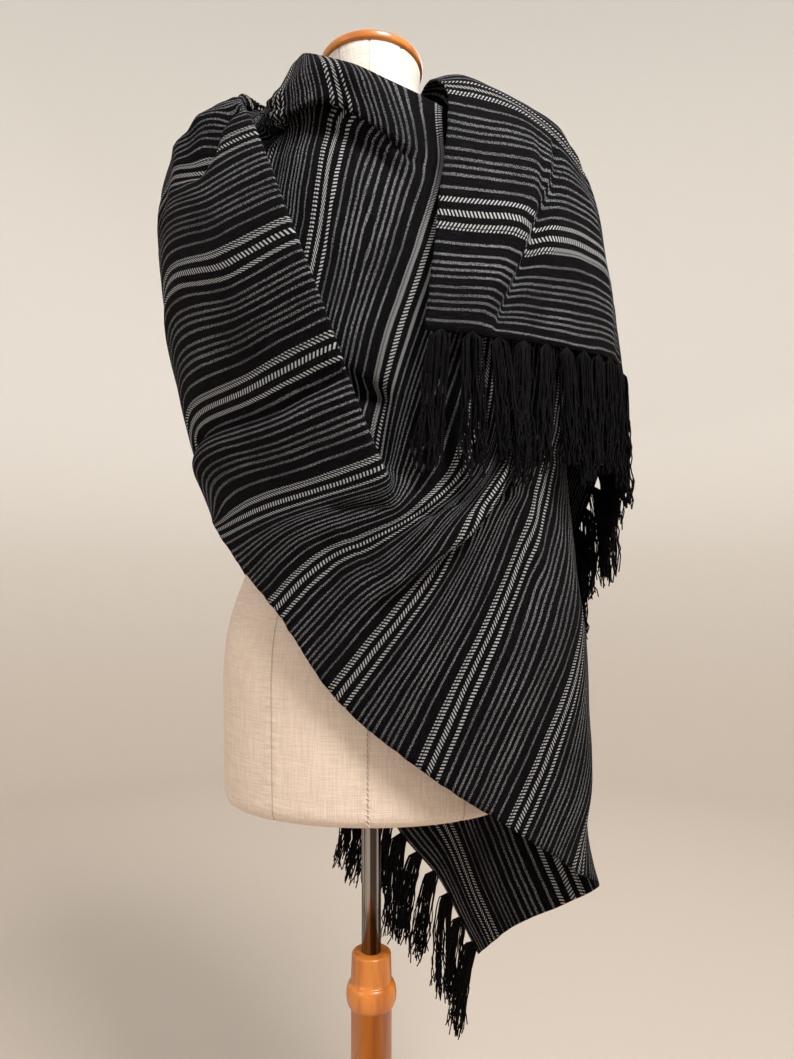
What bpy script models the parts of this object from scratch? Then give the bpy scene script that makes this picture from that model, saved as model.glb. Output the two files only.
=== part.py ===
"""A woven, striped shawl with knotted fringes, draped on a limbless dress form on a turned stand.

Metres, +Z up, front toward -Y. The origin is the centre of the stand's underside.
The shawl is one long panel. Its tables hold one row for each section across the panel, in
millimetres, and each section runs from the lower selvedge to the upper one.
"""
import math
from dataclasses import dataclass

import bmesh
import bpy
import numpy as np
from mathutils import Vector
from mathutils.bvhtree import BVHTree

MM = 0.001
GAP = 0.0003
SEAM_GAP = 0.0005

BASE_RADIUS, BASE_HEIGHT, BASE_ROUNDING, BASE_BEVEL = 0.180, 0.028, 0.010, 0.002
POST_TOP, POST_RADIUS = 0.502, 0.023
RING_HEIGHT, RING_RADIUS, RING_HALF = 0.455, 0.0285, 0.014
FOOT_RADIUS, FOOT_HEIGHT = 0.036, 0.022
POLE_RADIUS = 0.011
TORSO_BOTTOM, TORSO_TOP = 0.675, 1.490
CAP_HEIGHT, CAP_HALF_WIDTH, CAP_HALF_DEPTH = 0.010, 0.058, 0.069

CLOTH_THICKNESS = 0.0020
PANEL_WIDTH, REPEAT = 0.740, 0.120
LAST_STATION = 15.3
CLOTH_CLEARANCE = 0.009

TASSELS, STRANDS_PER_TASSEL, CELLS_PER_TASSEL = 20, 3, 4
FRINGE_LENGTH, STRIP_LENGTH, STRIP_THICKNESS = 0.135, 0.006, 0.0030


@dataclass(frozen=True)
class Ring:
    """One level ring of the dress form: height above its bottom, half width, front and back."""

    height: float
    half_width: float
    front: float
    back: float


TORSO_RINGS = (
    Ring(0.000, 0.156, 0.100, 0.107),
    Ring(0.008, 0.166, 0.110, 0.116),
    Ring(0.087, 0.168, 0.113, 0.120),
    Ring(0.155, 0.167, 0.112, 0.118),
    Ring(0.190, 0.162, 0.110, 0.114),
    Ring(0.223, 0.152, 0.106, 0.106),
    Ring(0.252, 0.141, 0.102, 0.098),
    Ring(0.300, 0.128, 0.096, 0.088),
    Ring(0.380, 0.118, 0.090, 0.082),
    Ring(0.450, 0.128, 0.100, 0.086),
    Ring(0.530, 0.148, 0.118, 0.092),
    Ring(0.580, 0.158, 0.118, 0.098),
    Ring(0.640, 0.170, 0.104, 0.100),
    Ring(0.685, 0.168, 0.087, 0.094),
    Ring(0.706, 0.150, 0.076, 0.085),
    Ring(0.724, 0.120, 0.066, 0.076),
    Ring(0.740, 0.088, 0.061, 0.070),
    Ring(0.757, 0.066, 0.062, 0.068),
    Ring(0.775, 0.056, 0.065, 0.066),
    Ring(0.815, 0.055, 0.066, 0.066),
)


@dataclass(frozen=True)
class Section:
    """One section across the panel, as points (x, y, z) in mm from the lower selvedge up.

    station counts pattern repeats from the back end. On the left the cloth doubles over: flap
    is its outer side, edge and behind the fold, valley and turn where it turns back, chest the
    panel beneath, and tuck, roll and crest shape the collar. Elsewhere they are places along a
    plain section.
    """

    station: float
    hem: tuple
    side: tuple
    flap: tuple
    edge: tuple
    behind: tuple
    valley: tuple
    turn: tuple
    chest: tuple
    tuck: tuple
    roll: tuple
    crest: tuple
    top: tuple

    def points(self):
        return np.array((self.hem, self.side, self.flap, self.edge, self.behind, self.valley,
                         self.turn, self.chest, self.tuck, self.roll, self.crest, self.top)) * MM


SECTIONS = (
    Section(0.0, (130, 85, 455), (107, 103, 494), (84, 120, 532), (33, 135, 588), (12, 138, 626),
            (-8, 140, 665), (-19, 140, 712), (-30, 140, 760), (-40, 138, 850), (-45, 132, 940),
            (-45, 125, 1020), (-45, 118, 1090)),
    Section(0.5, (169, 45, 509), (145, 80, 562), (115, 118, 635), (90, 134, 705), (79, 138, 742),
            (68, 142, 780), (60, 144, 820), (52, 145, 860), (42, 142, 940), (36, 137, 1020),
            (32, 130, 1100), (30, 122, 1180)),
    Section(1.0, (258, 10, 569), (232, 58, 650), (203, 90, 725), (176, 112, 800), (164, 120, 840),
            (153, 127, 880), (144, 130, 920), (136, 134, 960), (122, 136, 1040), (112, 133, 1120),
            (104, 128, 1195), (100, 118, 1270)),
    Section(1.4, (226, -35, 604), (248, 8, 680), (240, 40, 765), (226, 64, 850), (218, 74, 890),
            (210, 84, 930), (203, 91, 970), (196, 98, 1010), (184, 106, 1090), (176, 106, 1170),
            (168, 100, 1250), (158, 88, 1325)),
    Section(2.4, (148, -100, 672), (183, -88, 746), (217, -55, 811), (236, -12, 875), (234, 5, 912),
            (233, 22, 950), (228, 35, 990), (224, 48, 1030), (214, 64, 1110), (206, 70, 1190),
            (197, 68, 1265), (183, 58, 1335)),
    Section(3.4, (58, -135, 739), (106, -142, 850), (146, -122, 937), (173, -96, 1006), (180, -88, 1028),
            (188, -78, 1052), (194, -70, 1078), (200, -60, 1110), (206, -44, 1185), (207, -22, 1260),
            (200, 8, 1335), (182, 40, 1392)),
    Section(4.4, (-29, -130, 810), (32, -150, 889), (64, -158, 932), (95, -162, 980), (110, -153, 1002),
            (124, -145, 1024), (135, -138, 1046), (147, -128, 1085), (159, -112, 1160), (166, -84, 1250),
            (168, -45, 1345), (146, 8, 1408)),
    Section(5.4, (-91, -115, 896), (-40, -142, 945), (2, -156, 966), (36, -164, 982), (55, -161, 995),
            (76, -154, 1013), (92, -146, 1035), (106, -138, 1075), (119, -130, 1150), (127, -110, 1240),
            (128, -68, 1340), (118, 18, 1420)),
    Section(5.9, (-126, -80, 930), (-75, -130, 970), (-24, -155, 989), (23, -168, 1003), (30, -162, 1014),
            (34, -156, 1030), (38, -154, 1042), (55, -150, 1096), (88, -138, 1190), (104, -112, 1290),
            (110, -60, 1385), (106, 15, 1424)),
    Section(6.4, (-166, -35, 976), (-107, -100, 995), (-39, -150, 1013), (15, -172, 1030), (15, -160, 1034),
            (4, -151, 1034), (6, -142, 1038), (17, -142, 1110), (56, -125, 1242), (80, -82, 1336),
            (87, -42, 1426), (93, -14, 1426)),
    Section(6.9, (-182, 10, 990), (-184, -25, 1037), (-73, -142, 1063), (-6, -178, 1082), (-8, -166, 1083),
            (-40, -147, 1076), (-38, -136, 1079), (-27, -136, 1141), (20, -100, 1327), (29, -112, 1361),
            (4, -92, 1439), (8, -78, 1417)),
    Section(7.4, (-188, 45, 1000), (-205, 0, 1091), (-104, -128, 1116), (-25, -180, 1140), (-29, -167, 1139),
            (-78, -118, 1130), (-76, -107, 1132), (-57, -126, 1210), (-30, -80, 1390), (-26, -102, 1404),
            (-47, -78, 1464), (-43, -55, 1430)),
    Section(8.4, (-188, 85, 990), (-236, 10, 1241), (-134, -125, 1234), (-65, -172, 1246), (-69, -159, 1244),
            (-135, -98, 1232), (-134, -86, 1234), (-112, -88, 1303), (-96, -71, 1387), (-87, -88, 1406),
            (-76, -55, 1473), (-64, -30, 1436)),
    Section(9.4, (-180, 120, 950), (-254, 45, 1353), (-176, -60, 1365), (-111, -105, 1370), (-114, -94, 1371),
            (-150, -67, 1367), (-149, -56, 1371), (-133, -46, 1404), (-115, -46, 1423), (-106, -42, 1441),
            (-82, -10, 1472), (-64, -4, 1438)),
    Section(10.4, (-150, 150, 890), (-236, 88, 1330), (-190, 10, 1432), (-146, -16, 1448), (-141, -10, 1450),
            (-136, -4, 1450), (-132, 0, 1449), (-128, 4, 1448), (-119, 11, 1447), (-107, 16, 1458),
            (-84, 27, 1476), (-64, 32, 1444)),
    Section(11.4, (-100, 172, 830), (-140, 160, 1130), (-140, 130, 1300), (-112, 104, 1390), (-103, 99, 1401),
            (-94, 94, 1412), (-87, 91, 1418), (-80, 88, 1424), (-68, 85, 1434), (-58, 84, 1448),
            (-46, 82, 1470), (-36, 74, 1462)),
    Section(12.4, (-20, 182, 820), (-10, 172, 1080), (4, 158, 1250), (14, 134, 1350), (17, 127, 1368),
            (20, 120, 1385), (22, 115, 1396), (25, 110, 1408), (29, 103, 1428), (33, 96, 1448),
            (38, 88, 1470), (40, 76, 1478)),
    Section(13.0, (40, 184, 850), (110, 170, 1080), (180, 140, 1260), (225, 95, 1360), (226, 68, 1389),
            (226, 40, 1418), (213, 25, 1430), (200, 10, 1442), (165, 0, 1456), (130, -4, 1472),
            (95, -4, 1488), (66, -2, 1484)),
    Section(13.4, (75, 182, 860), (150, 165, 1050), (215, 130, 1220), (250, 80, 1330), (248, 50, 1358),
            (246, 20, 1386), (230, 0, 1394), (214, -20, 1402), (185, -30, 1423), (146, -42, 1440),
            (108, -52, 1446), (80, -57, 1446)),
    Section(14.4, (135, 174, 870), (205, 150, 990), (250, 105, 1110), (274, 52, 1200), (273, 28, 1225),
            (272, 5, 1250), (262, -18, 1261), (252, -40, 1272), (215, -78, 1278), (172, -112, 1274),
            (119, -135, 1274), (68, -132, 1281)),
    Section(15.3, (195, 152, 880), (238, 120, 940), (264, 85, 1010), (284, 45, 1100), (284, 22, 1128),
            (284, 0, 1155), (273, -20, 1158), (262, -40, 1160), (218, -92, 1156), (146, -146, 1153),
            (97, -170, 1154), (54, -168, 1158)),
)


@dataclass(frozen=True)
class Fold:
    """A soft ridge (or a trough, where depth is negative) along a line on the panel.

    station and across say where it starts, and end_station and end_across where it ends;
    across counts the section's points from the hem (0) to the top (11). Width and depth are mm.
    """

    station: float
    across: float
    end_station: float
    end_across: float
    width: float
    depth: float


FOLDS = (
    Fold(0.25, 0.0, 0.30, 9.0, 16, 5),
    Fold(0.75, 0.5, 0.90, 10.0, 16, -6),
    Fold(1.80, 3.0, 1.95, 11.0, 14, 5),
    Fold(2.85, 6.0, 2.90, 11.0, 12, -6),
    Fold(3.85, 6.5, 3.60, 11.0, 11, 6),
    Fold(4.50, 2.6, 4.30, 8.5, 11, -5),
    Fold(4.95, 1.4, 4.85, 7.6, 12, 7),
    Fold(9.00, 0.7, 9.60, 2.2, 12, -6),
    Fold(9.80, 0.7, 10.00, 2.4, 14, 5),
    Fold(10.90, 0.3, 10.90, 3.0, 18, -8),
    Fold(11.70, 0.2, 11.80, 3.4, 20, 8),
    Fold(12.45, 0.3, 12.60, 3.2, 18, -8),
    Fold(13.60, 8.4, 15.30, 9.7, 11, -6),
    Fold(14.10, 1.0, 15.30, 1.6, 14, 6),
)

STRETCHES = (
    ("scarf_back_end", 0.0, 1.7),
    ("scarf_front", 1.7, 5.9),
    ("scarf_cowl", 5.9, 11.2),
    ("scarf_back", 11.2, 12.7),
    ("scarf_front_end", 12.7, LAST_STATION),
)
ROWS_PER_REPEAT = 5
CUTS_BETWEEN_POINTS = (3, 3, 3, 2, 3, 1, 3, 3, 2, 3, 2)


def new_object(name, bm, material, collection):
    """Turn a bmesh into a named object with one material in the given collection."""
    mesh = bpy.data.meshes.new(name)
    bm.to_mesh(mesh)
    bm.free()
    obj = bpy.data.objects.new(name, mesh)
    mesh.materials.append(material)
    mesh.shade_smooth()
    mesh.set_sharp_from_angle(angle=math.radians(50))
    collection.objects.link(obj)
    return obj


def new_material(name, colour, roughness, metallic=0.0):
    """Make a Principled material."""
    material = bpy.data.materials.new(name)
    material.use_nodes = True
    shader = material.node_tree.nodes["Principled BSDF"]
    shader.inputs["Base Color"].default_value = (*colour, 1.0)
    shader.inputs["Roughness"].default_value = roughness
    shader.inputs["Metallic"].default_value = metallic
    return material


def turned(name, profile, material, collection, steps):
    """Turn a profile of (radius, height) points, top to bottom, round the vertical axis."""
    mesh = bpy.data.meshes.new(name)
    edges = [(i, i + 1) for i in range(len(profile) - 1)]
    mesh.from_pydata([(radius, 0.0, height) for radius, height in profile], edges, [])
    mesh.materials.append(material)
    obj = bpy.data.objects.new(name, mesh)
    screw = obj.modifiers.new("Turn", "SCREW")
    screw.axis = "Z"
    screw.steps = screw.render_steps = steps
    screw.use_merge_vertices = True
    screw.merge_threshold = 0.0001
    screw.use_smooth_shade = True
    collection.objects.link(obj)
    return obj


def base_profile(steps=3):
    """Outline of the round base plate, rounded above and bevelled beneath."""
    turns = [math.radians(90) * i / steps for i in range(steps + 1)]
    shoulder = [(BASE_RADIUS - BASE_ROUNDING * (1 - math.sin(a)),
                 BASE_HEIGHT - BASE_ROUNDING * (1 - math.cos(a))) for a in turns]
    return [(0.0, BASE_HEIGHT), *shoulder, (BASE_RADIUS, BASE_BEVEL),
            (BASE_RADIUS - BASE_BEVEL, 0.0), (0.0, 0.0)]


def post_profile():
    """Outline of the turned wooden post, with its half-round ring and its foot."""
    turns = [math.radians(180) * i / 6 for i in range(7)]
    ring = [(POST_RADIUS + (RING_RADIUS - POST_RADIUS) * math.sin(a),
             RING_HEIGHT + RING_HALF * math.cos(a)) for a in turns]
    bottom = BASE_HEIGHT + GAP
    return [(0.0, POST_TOP), (POST_RADIUS - 0.002, POST_TOP), (POST_RADIUS - 0.001, POST_TOP - 0.002),
            *ring, (POST_RADIUS, bottom + FOOT_HEIGHT + 0.012),
            (FOOT_RADIUS, bottom + FOOT_HEIGHT), (FOOT_RADIUS, bottom), (0.0, bottom)]


def loft(name, rings, material, collection):
    """Loft a closed solid through level rings, each a list of points in the same order."""
    bm = bmesh.new()
    loops = [[bm.verts.new(point) for point in ring] for ring in rings]
    for lower, upper in zip(loops, loops[1:]):
        for i in range(len(lower)):
            following = (i + 1) % len(lower)
            bm.faces.new((lower[i], lower[following], upper[following], upper[i]))
    bm.faces.new(reversed(loops[0]))
    bm.faces.new(loops[-1])
    return new_object(name, bm, material, collection)


def oval(half_width, front, back, height, segments):
    """Points of a level oval whose front and back reach differently far."""
    points = []
    for i in range(segments):
        angle = math.tau * i / segments
        reach = back if math.sin(angle) > 0 else front
        points.append((half_width * math.cos(angle), reach * math.sin(angle), height))
    return points


def spline(knots, values, at):
    """Smooth cubic through values at rising knots, read at other places.

    The tangent at each knot is the mean of the slopes beside it, weighted by their lengths.
    """
    steps = np.diff(knots)
    slopes = np.diff(values, axis=0) / steps.reshape(-1, *([1] * (values.ndim - 1)))
    tangents = np.empty_like(values)
    tangents[0], tangents[-1] = slopes[0], slopes[-1]
    for i in range(1, len(knots) - 1):
        share = steps[i - 1] / (steps[i - 1] + steps[i])
        tangents[i] = slopes[i - 1] * (1 - share) + slopes[i] * share
    result = []
    for place in at:
        i = int(np.clip(np.searchsorted(knots, place) - 1, 0, len(steps) - 1))
        u = (place - knots[i]) / steps[i]
        result.append((2 * u**3 - 3 * u**2 + 1) * values[i] + (u**3 - 2 * u**2 + u) * steps[i] * tangents[i]
                      + (3 * u**2 - 2 * u**3) * values[i + 1] + (u**3 - u**2) * steps[i] * tangents[i + 1])
    return np.array(result)


def across_places():
    """Places across the panel, counted in section points, closer together where it bends most."""
    places = [0.0]
    for i, cuts in enumerate(CUTS_BETWEEN_POINTS):
        places += [i + (k + 1) / cuts for k in range(cuts)]
    return np.array(places)


def section_curve(points, places):
    """Read a section's smooth curve at places counted in its points."""
    lengths = np.sqrt(np.linalg.norm(np.diff(points, axis=0), axis=1))
    knots = np.concatenate(([0.0], np.cumsum(lengths)))
    return spline(knots, points, np.interp(places, np.arange(len(points)), knots))


def normals_of(grid):
    """Unit normals of a grid of points, pointing away from the dress form.

    Each is the mean of the normals of the cells that meet there.
    """
    cells = np.cross(grid[:-1, 1:] - grid[1:, :-1], grid[1:, 1:] - grid[:-1, :-1])
    cells /= np.linalg.norm(cells, axis=2, keepdims=True)
    around = np.pad(cells, ((1, 1), (1, 1), (0, 0)), mode="edge")
    normal = around[:-1, :-1] + around[1:, :-1] + around[:-1, 1:] + around[1:, 1:]
    return normal / np.linalg.norm(normal, axis=2, keepdims=True)


def fold_heights(stations, places):
    """Height of every fold over the panel, as one number for each place."""
    pitch = PANEL_WIDTH / len(CUTS_BETWEEN_POINTS)
    heights = np.zeros((len(stations), len(places)))
    x, y = np.meshgrid(stations * REPEAT, places * pitch, indexing="ij")
    for fold in FOLDS:
        start = np.array((fold.station * REPEAT, fold.across * pitch))
        run = np.array((fold.end_station * REPEAT, fold.end_across * pitch)) - start
        length = np.linalg.norm(run)
        direction = run / length
        forward = ((x - start[0]) * direction[0] + (y - start[1]) * direction[1]) / length
        off = (x - start[0]) * direction[1] - (y - start[1]) * direction[0]
        ends = np.clip(forward * 4, 0, 1) * np.clip((1 - forward) * 4 + 0.35, 0, 1)
        heights += fold.depth * MM * np.exp(-((off / (fold.width * MM)) ** 2)) * ends
    return heights


def keep_off(grid, tree, clearance):
    """Move points that come too near a closed body out to its surface plus the clearance."""
    for index in np.ndindex(grid.shape[:-1]):
        place = Vector(grid[index])
        nearest, normal, _, distance = tree.find_nearest(place)
        outside = (place - nearest).dot(normal)
        if outside < 0 or distance < clearance:
            grid[index] = nearest + normal * clearance
    return grid


def panel(body_tree):
    """Work out the whole panel: its stations, its points and its unit normals."""
    count = round(LAST_STATION * ROWS_PER_REPEAT)
    stations = np.linspace(0.0, LAST_STATION, count + 1)
    seams = [end for _, _, end in STRETCHES[:-1]]
    stations = [s for s in stations if all(abs(s - seam) > 0.08 for seam in seams)]
    stations = np.array(sorted(stations + seams))
    places = across_places()
    knots = np.array([section.station for section in SECTIONS])
    controls = spline(knots, np.array([section.points() for section in SECTIONS]), stations)
    grid = np.array([section_curve(row, places) for row in controls])
    grid = grid + normals_of(grid) * fold_heights(stations, places)[:, :, None]
    grid = keep_off(grid, body_tree, CLOTH_CLEARANCE)
    return stations, grid, normals_of(grid)


def end_directions(grid, normals, row):
    """Unit directions out of the cloth across its first row (0) or its last (-1)."""
    forward = np.cross(normals[row], np.gradient(grid[row], axis=0))
    forward /= np.linalg.norm(forward, axis=1, keepdims=True)
    return forward if row == -1 else -forward


def stretch_of(grid, normals, rows, last_row):
    """Cut a stretch out of the panel, its cut ends drawn back by half the gap at a seam."""
    points = grid[rows].copy()
    for end, free in ((0, rows[0] == 0), (-1, rows[-1] == last_row)):
        if not free:
            points[end] -= end_directions(grid[rows], normals[rows], end) * SEAM_GAP / 2
    return points


def gridded_slab(rows, columns):
    """Make a closed slab of unit size with a grid of cells on its two broad sides."""
    bm = bmesh.new()
    bmesh.ops.create_grid(bm, x_segments=rows, y_segments=columns, size=0.5)
    raised = bmesh.ops.extrude_face_region(bm, geom=bm.faces[:], use_keep_orig=True)
    lifted = [item for item in raised["geom"] if isinstance(item, bmesh.types.BMVert)]
    bmesh.ops.translate(bm, vec=(0, 0, 1), verts=lifted)
    bmesh.ops.recalc_face_normals(bm, faces=bm.faces[:])
    return bm


def wall(name, points, normals, thickness, material, collection):
    """Make a closed wall of even thickness whose middle runs through a grid of points."""
    rows, columns = points.shape[:2]
    bm = gridded_slab(rows - 1, columns - 1)
    for vert in bm.verts:
        row = round((vert.co.x + 0.5) * (rows - 1))
        column = round((vert.co.y + 0.5) * (columns - 1))
        shift = (0.5 - vert.co.z) * thickness
        vert.co = points[row, column] + normals[row, column] * shift
    return new_object(name, bm, material, collection)


def fringe(name, edge, outward, normals, spread, material, collection):
    """Make a fringe: a narrow strip along the cloth's edge, with the tassels' strands fused to it.

    Args:
        edge: points along the cloth's edge, a row of cells longer by one than the strip's cells.
        outward: unit directions in which the cloth leaves its edge.
        normals: the cloth's unit normals along its edge.
        spread: how far the strands lean outward, against their fall straight down, at the
            lower selvedge and at the upper one.
    """
    cells = len(edge) - 1
    strip = np.array([edge + outward * GAP, edge + outward * (GAP + STRIP_LENGTH)])
    bm = gridded_slab(1, cells)
    roots = {}
    for face in bm.faces:
        centre = face.calc_center_median()
        if centre.x > 0.49:
            roots[int((centre.y + 0.5) * cells)] = face
    for vert in bm.verts:
        row = round(vert.co.x + 0.5)
        column = round((vert.co.y + 0.5) * cells)
        vert.co = strip[row, column] + normals[column] * (vert.co.z - 0.5) * STRIP_THICKNESS
    for cell, face in roots.items():
        if cell % CELLS_PER_TASSEL < STRANDS_PER_TASSEL:
            lean = spread[0] + (spread[1] - spread[0]) * cell / cells
            hang_strand(bm, face, cell, outward[cell], normals[cell], lean)
    return new_object(name, bm, material, collection)


def hang_strand(bm, face, cell, outward, normal, lean, steps=3):
    """Draw one strand out of a face at the strip's free side, curving down and tapering."""
    tassel, place = divmod(cell, CELLS_PER_TASSEL)
    off_middle = place - (STRANDS_PER_TASSEL - 1) / 2
    length = FRINGE_LENGTH - STRIP_LENGTH + 0.006 * math.sin(2.3 * tassel + 1.9 * place)
    centre = face.calc_center_median()
    corners = [vert.co - centre for vert in face.verts]
    fall = (Vector(outward) * lean + Vector((0, 0, -1))).normalized()
    sideways = Vector(normal).cross(fall).normalized()
    for step in range(1, steps + 1):
        share = step / steps
        heading = (Vector(outward) * (1 - share) * 0.3 + fall).normalized()
        centre = centre + heading * length / steps
        wave = 0.0007 * math.sin(1.1 * tassel + 2.4 * step) - 0.0005 * off_middle * step
        depth = 0.0015 * math.sin(2.9 * cell + step)
        slim = 0.46 - 0.12 * share
        extruded = bmesh.ops.extrude_discrete_faces(bm, faces=[face])["faces"][0]
        for vert, corner in zip(extruded.verts, corners):
            vert.co = centre + sideways * wave + Vector(normal) * depth + corner * slim
        face = extruded


def edge_frame(grid, normals, row, cells):
    """Points spaced evenly along an end of the panel, with its outward and normal directions."""
    lengths = np.concatenate(([0.0], np.cumsum(np.linalg.norm(np.diff(grid[row], axis=0), axis=1))))
    even = np.linspace(0.0, lengths[-1], cells + 1)
    frame = []
    for values in (grid[row], end_directions(grid, normals, row), normals[row]):
        frame.append(np.stack([np.interp(even, lengths, values[:, axis]) for axis in range(3)], axis=1))
    edge, outward, side = frame
    outward /= np.linalg.norm(outward, axis=1, keepdims=True)
    side /= np.linalg.norm(side, axis=1, keepdims=True)
    return edge, outward, side


def main():
    for old in list(bpy.data.objects):
        bpy.data.objects.remove(old)
    collection = bpy.data.collections.new("scarf_on_dress_form")
    bpy.context.scene.collection.children.link(collection)

    canvas = new_material("canvas", (0.78, 0.72, 0.62), 0.85)
    wood = new_material("wood", (0.62, 0.30, 0.11), 0.40)
    steel = new_material("steel", (0.45, 0.42, 0.40), 0.25, metallic=1.0)
    cloth = new_material("striped_cloth", (0.03, 0.03, 0.032), 0.90)
    yarn = new_material("fringe_yarn", (0.012, 0.012, 0.014), 0.90)

    turned("base", base_profile(), wood, collection, steps=32)
    turned("post", post_profile(), wood, collection, steps=18)
    pole_top = TORSO_BOTTOM - GAP
    turned("pole", [(0.0, pole_top), (POLE_RADIUS, pole_top), (POLE_RADIUS, POST_TOP + GAP),
                    (0.0, POST_TOP + GAP)], steel, collection, steps=16)
    torso = loft("torso", [oval(r.half_width, r.front, r.back, TORSO_BOTTOM + r.height, 32)
                           for r in TORSO_RINGS], canvas, collection)
    cap_bottom = TORSO_TOP + GAP
    cap_levels = ((0.0, 0.003), (0.002, 0.0), (CAP_HEIGHT - 0.002, 0.0), (CAP_HEIGHT, 0.003))
    loft("neck_cap", [oval(CAP_HALF_WIDTH - inset, CAP_HALF_DEPTH - inset, CAP_HALF_DEPTH - inset,
                           cap_bottom + level, 32) for level, inset in cap_levels], wood, collection)

    body = bmesh.new()
    body.from_mesh(torso.data)
    stations, grid, normals = panel(BVHTree.FromBMesh(body))
    body.free()
    for name, start, end in STRETCHES:
        rows = np.nonzero((stations > start - 1e-6) & (stations < end + 1e-6))[0]
        points = stretch_of(grid, normals, rows, len(stations) - 1)
        wall(name, points, normals[rows], CLOTH_THICKNESS, cloth, collection)

    cells = TASSELS * CELLS_PER_TASSEL - 1
    for name, row, spread in (("fringe_back_end", 0, (0.20, 0.65)),
                              ("fringe_front_end", -1, (0.0, 0.0))):
        edge, outward, side = edge_frame(grid, normals, row, cells)
        if row == -1:
            side = -side
        fringe(name, edge, outward, side, spread, yarn, collection)


main()
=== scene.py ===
"""Looks for a striped, fringed shawl wrapped round a limbless dress form on a turned stand.

Metres, +Z up, front toward -Y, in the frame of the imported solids.
"""
from __future__ import annotations

import logging  # noqa: E402
import math  # noqa: E402
from collections.abc import Sequence  # noqa: E402
from dataclasses import dataclass, field  # noqa: E402
from enum import Enum  # noqa: E402

import bmesh  # noqa: E402
import bpy  # noqa: E402
import numpy as np  # noqa: E402
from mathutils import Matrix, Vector, noise  # noqa: E402
from mathutils.bvhtree import BVHTree  # noqa: E402


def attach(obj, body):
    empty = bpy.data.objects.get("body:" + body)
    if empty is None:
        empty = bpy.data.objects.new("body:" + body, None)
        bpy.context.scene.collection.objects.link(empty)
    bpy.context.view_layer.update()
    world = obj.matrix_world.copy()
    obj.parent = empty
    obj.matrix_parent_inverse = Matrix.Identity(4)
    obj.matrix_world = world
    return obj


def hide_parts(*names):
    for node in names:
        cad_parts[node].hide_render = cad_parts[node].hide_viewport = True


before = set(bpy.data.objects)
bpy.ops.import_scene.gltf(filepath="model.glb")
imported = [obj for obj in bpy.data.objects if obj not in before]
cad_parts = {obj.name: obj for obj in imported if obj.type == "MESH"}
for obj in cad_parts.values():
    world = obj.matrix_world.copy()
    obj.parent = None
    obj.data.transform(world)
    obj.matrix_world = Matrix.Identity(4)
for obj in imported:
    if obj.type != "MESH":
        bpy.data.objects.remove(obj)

log = logging.getLogger("shawl")

MM = 0.001
BODY = "root"
Colour = tuple[float, float, float]


class Slot(Enum):
    """Material slots."""

    CANVAS = "canvas"
    WOOD = "wood"
    STEEL = "steel"
    CLOTH = "striped_cloth"
    YARN = "fringe_yarn"


def to_object(name: str, mesh: bpy.types.Mesh) -> bpy.types.Object:
    """Link a mesh to the scene as an object at the origin.

    Args:
        name: the object's name.
        mesh: the mesh that it shows.

    Returns:
        The new object.
    """
    obj = bpy.data.objects.new(name, mesh)
    bpy.context.scene.collection.objects.link(obj)
    return obj


def dress(obj: bpy.types.Object, material: bpy.types.Material, slot: Slot, *nodes: str) -> bpy.types.Object:
    """Give a finished piece its material and its body, and hide the solids that it stands for.

    Args:
        obj: the finished piece.
        material: its finish.
        slot: the slot for that finish; it is not used.
        nodes: the names of the solids that it replaces.

    Returns:
        The same piece.
    """
    obj.data.materials.clear()
    obj.data.materials.append(material)
    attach(obj, BODY)
    if nodes:
        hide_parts(*nodes)
    log.info("%s: %d faces", obj.name, len(obj.data.polygons))
    return obj


class Wiring:
    """A node tree, with the short calls that materials and Geometry Nodes share."""

    def __init__(self, tree: bpy.types.NodeTree) -> None:
        """Take up a tree.

        Args:
            tree: the tree that the calls add to.
        """
        self.tree = tree

    def put(self, socket: bpy.types.NodeSocket, value: object) -> None:
        """Link a socket into an input, or set the input's own value.

        Args:
            socket: the input.
            value: an output socket, or a value of the input's kind; a colour may leave out its alpha.
        """
        if isinstance(value, bpy.types.NodeSocket):
            self.tree.links.new(value, socket)
        elif socket.type == "RGBA" and len(value) == 3:
            socket.default_value = (*value, 1.0)
        else:
            socket.default_value = value

    def math(self, operation: str, *values: object, clamp: bool = False) -> bpy.types.NodeSocket:
        """Add a Math node.

        Args:
            operation: the node's operation.
            values: its inputs in order.
            clamp: whether the result is kept from 0 to 1.

        Returns:
            The result socket.
        """
        node = self.tree.nodes.new("ShaderNodeMath")
        node.operation = operation
        node.use_clamp = clamp
        for socket, value in zip(node.inputs, values):
            self.put(socket, value)
        return node.outputs[0]


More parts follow.
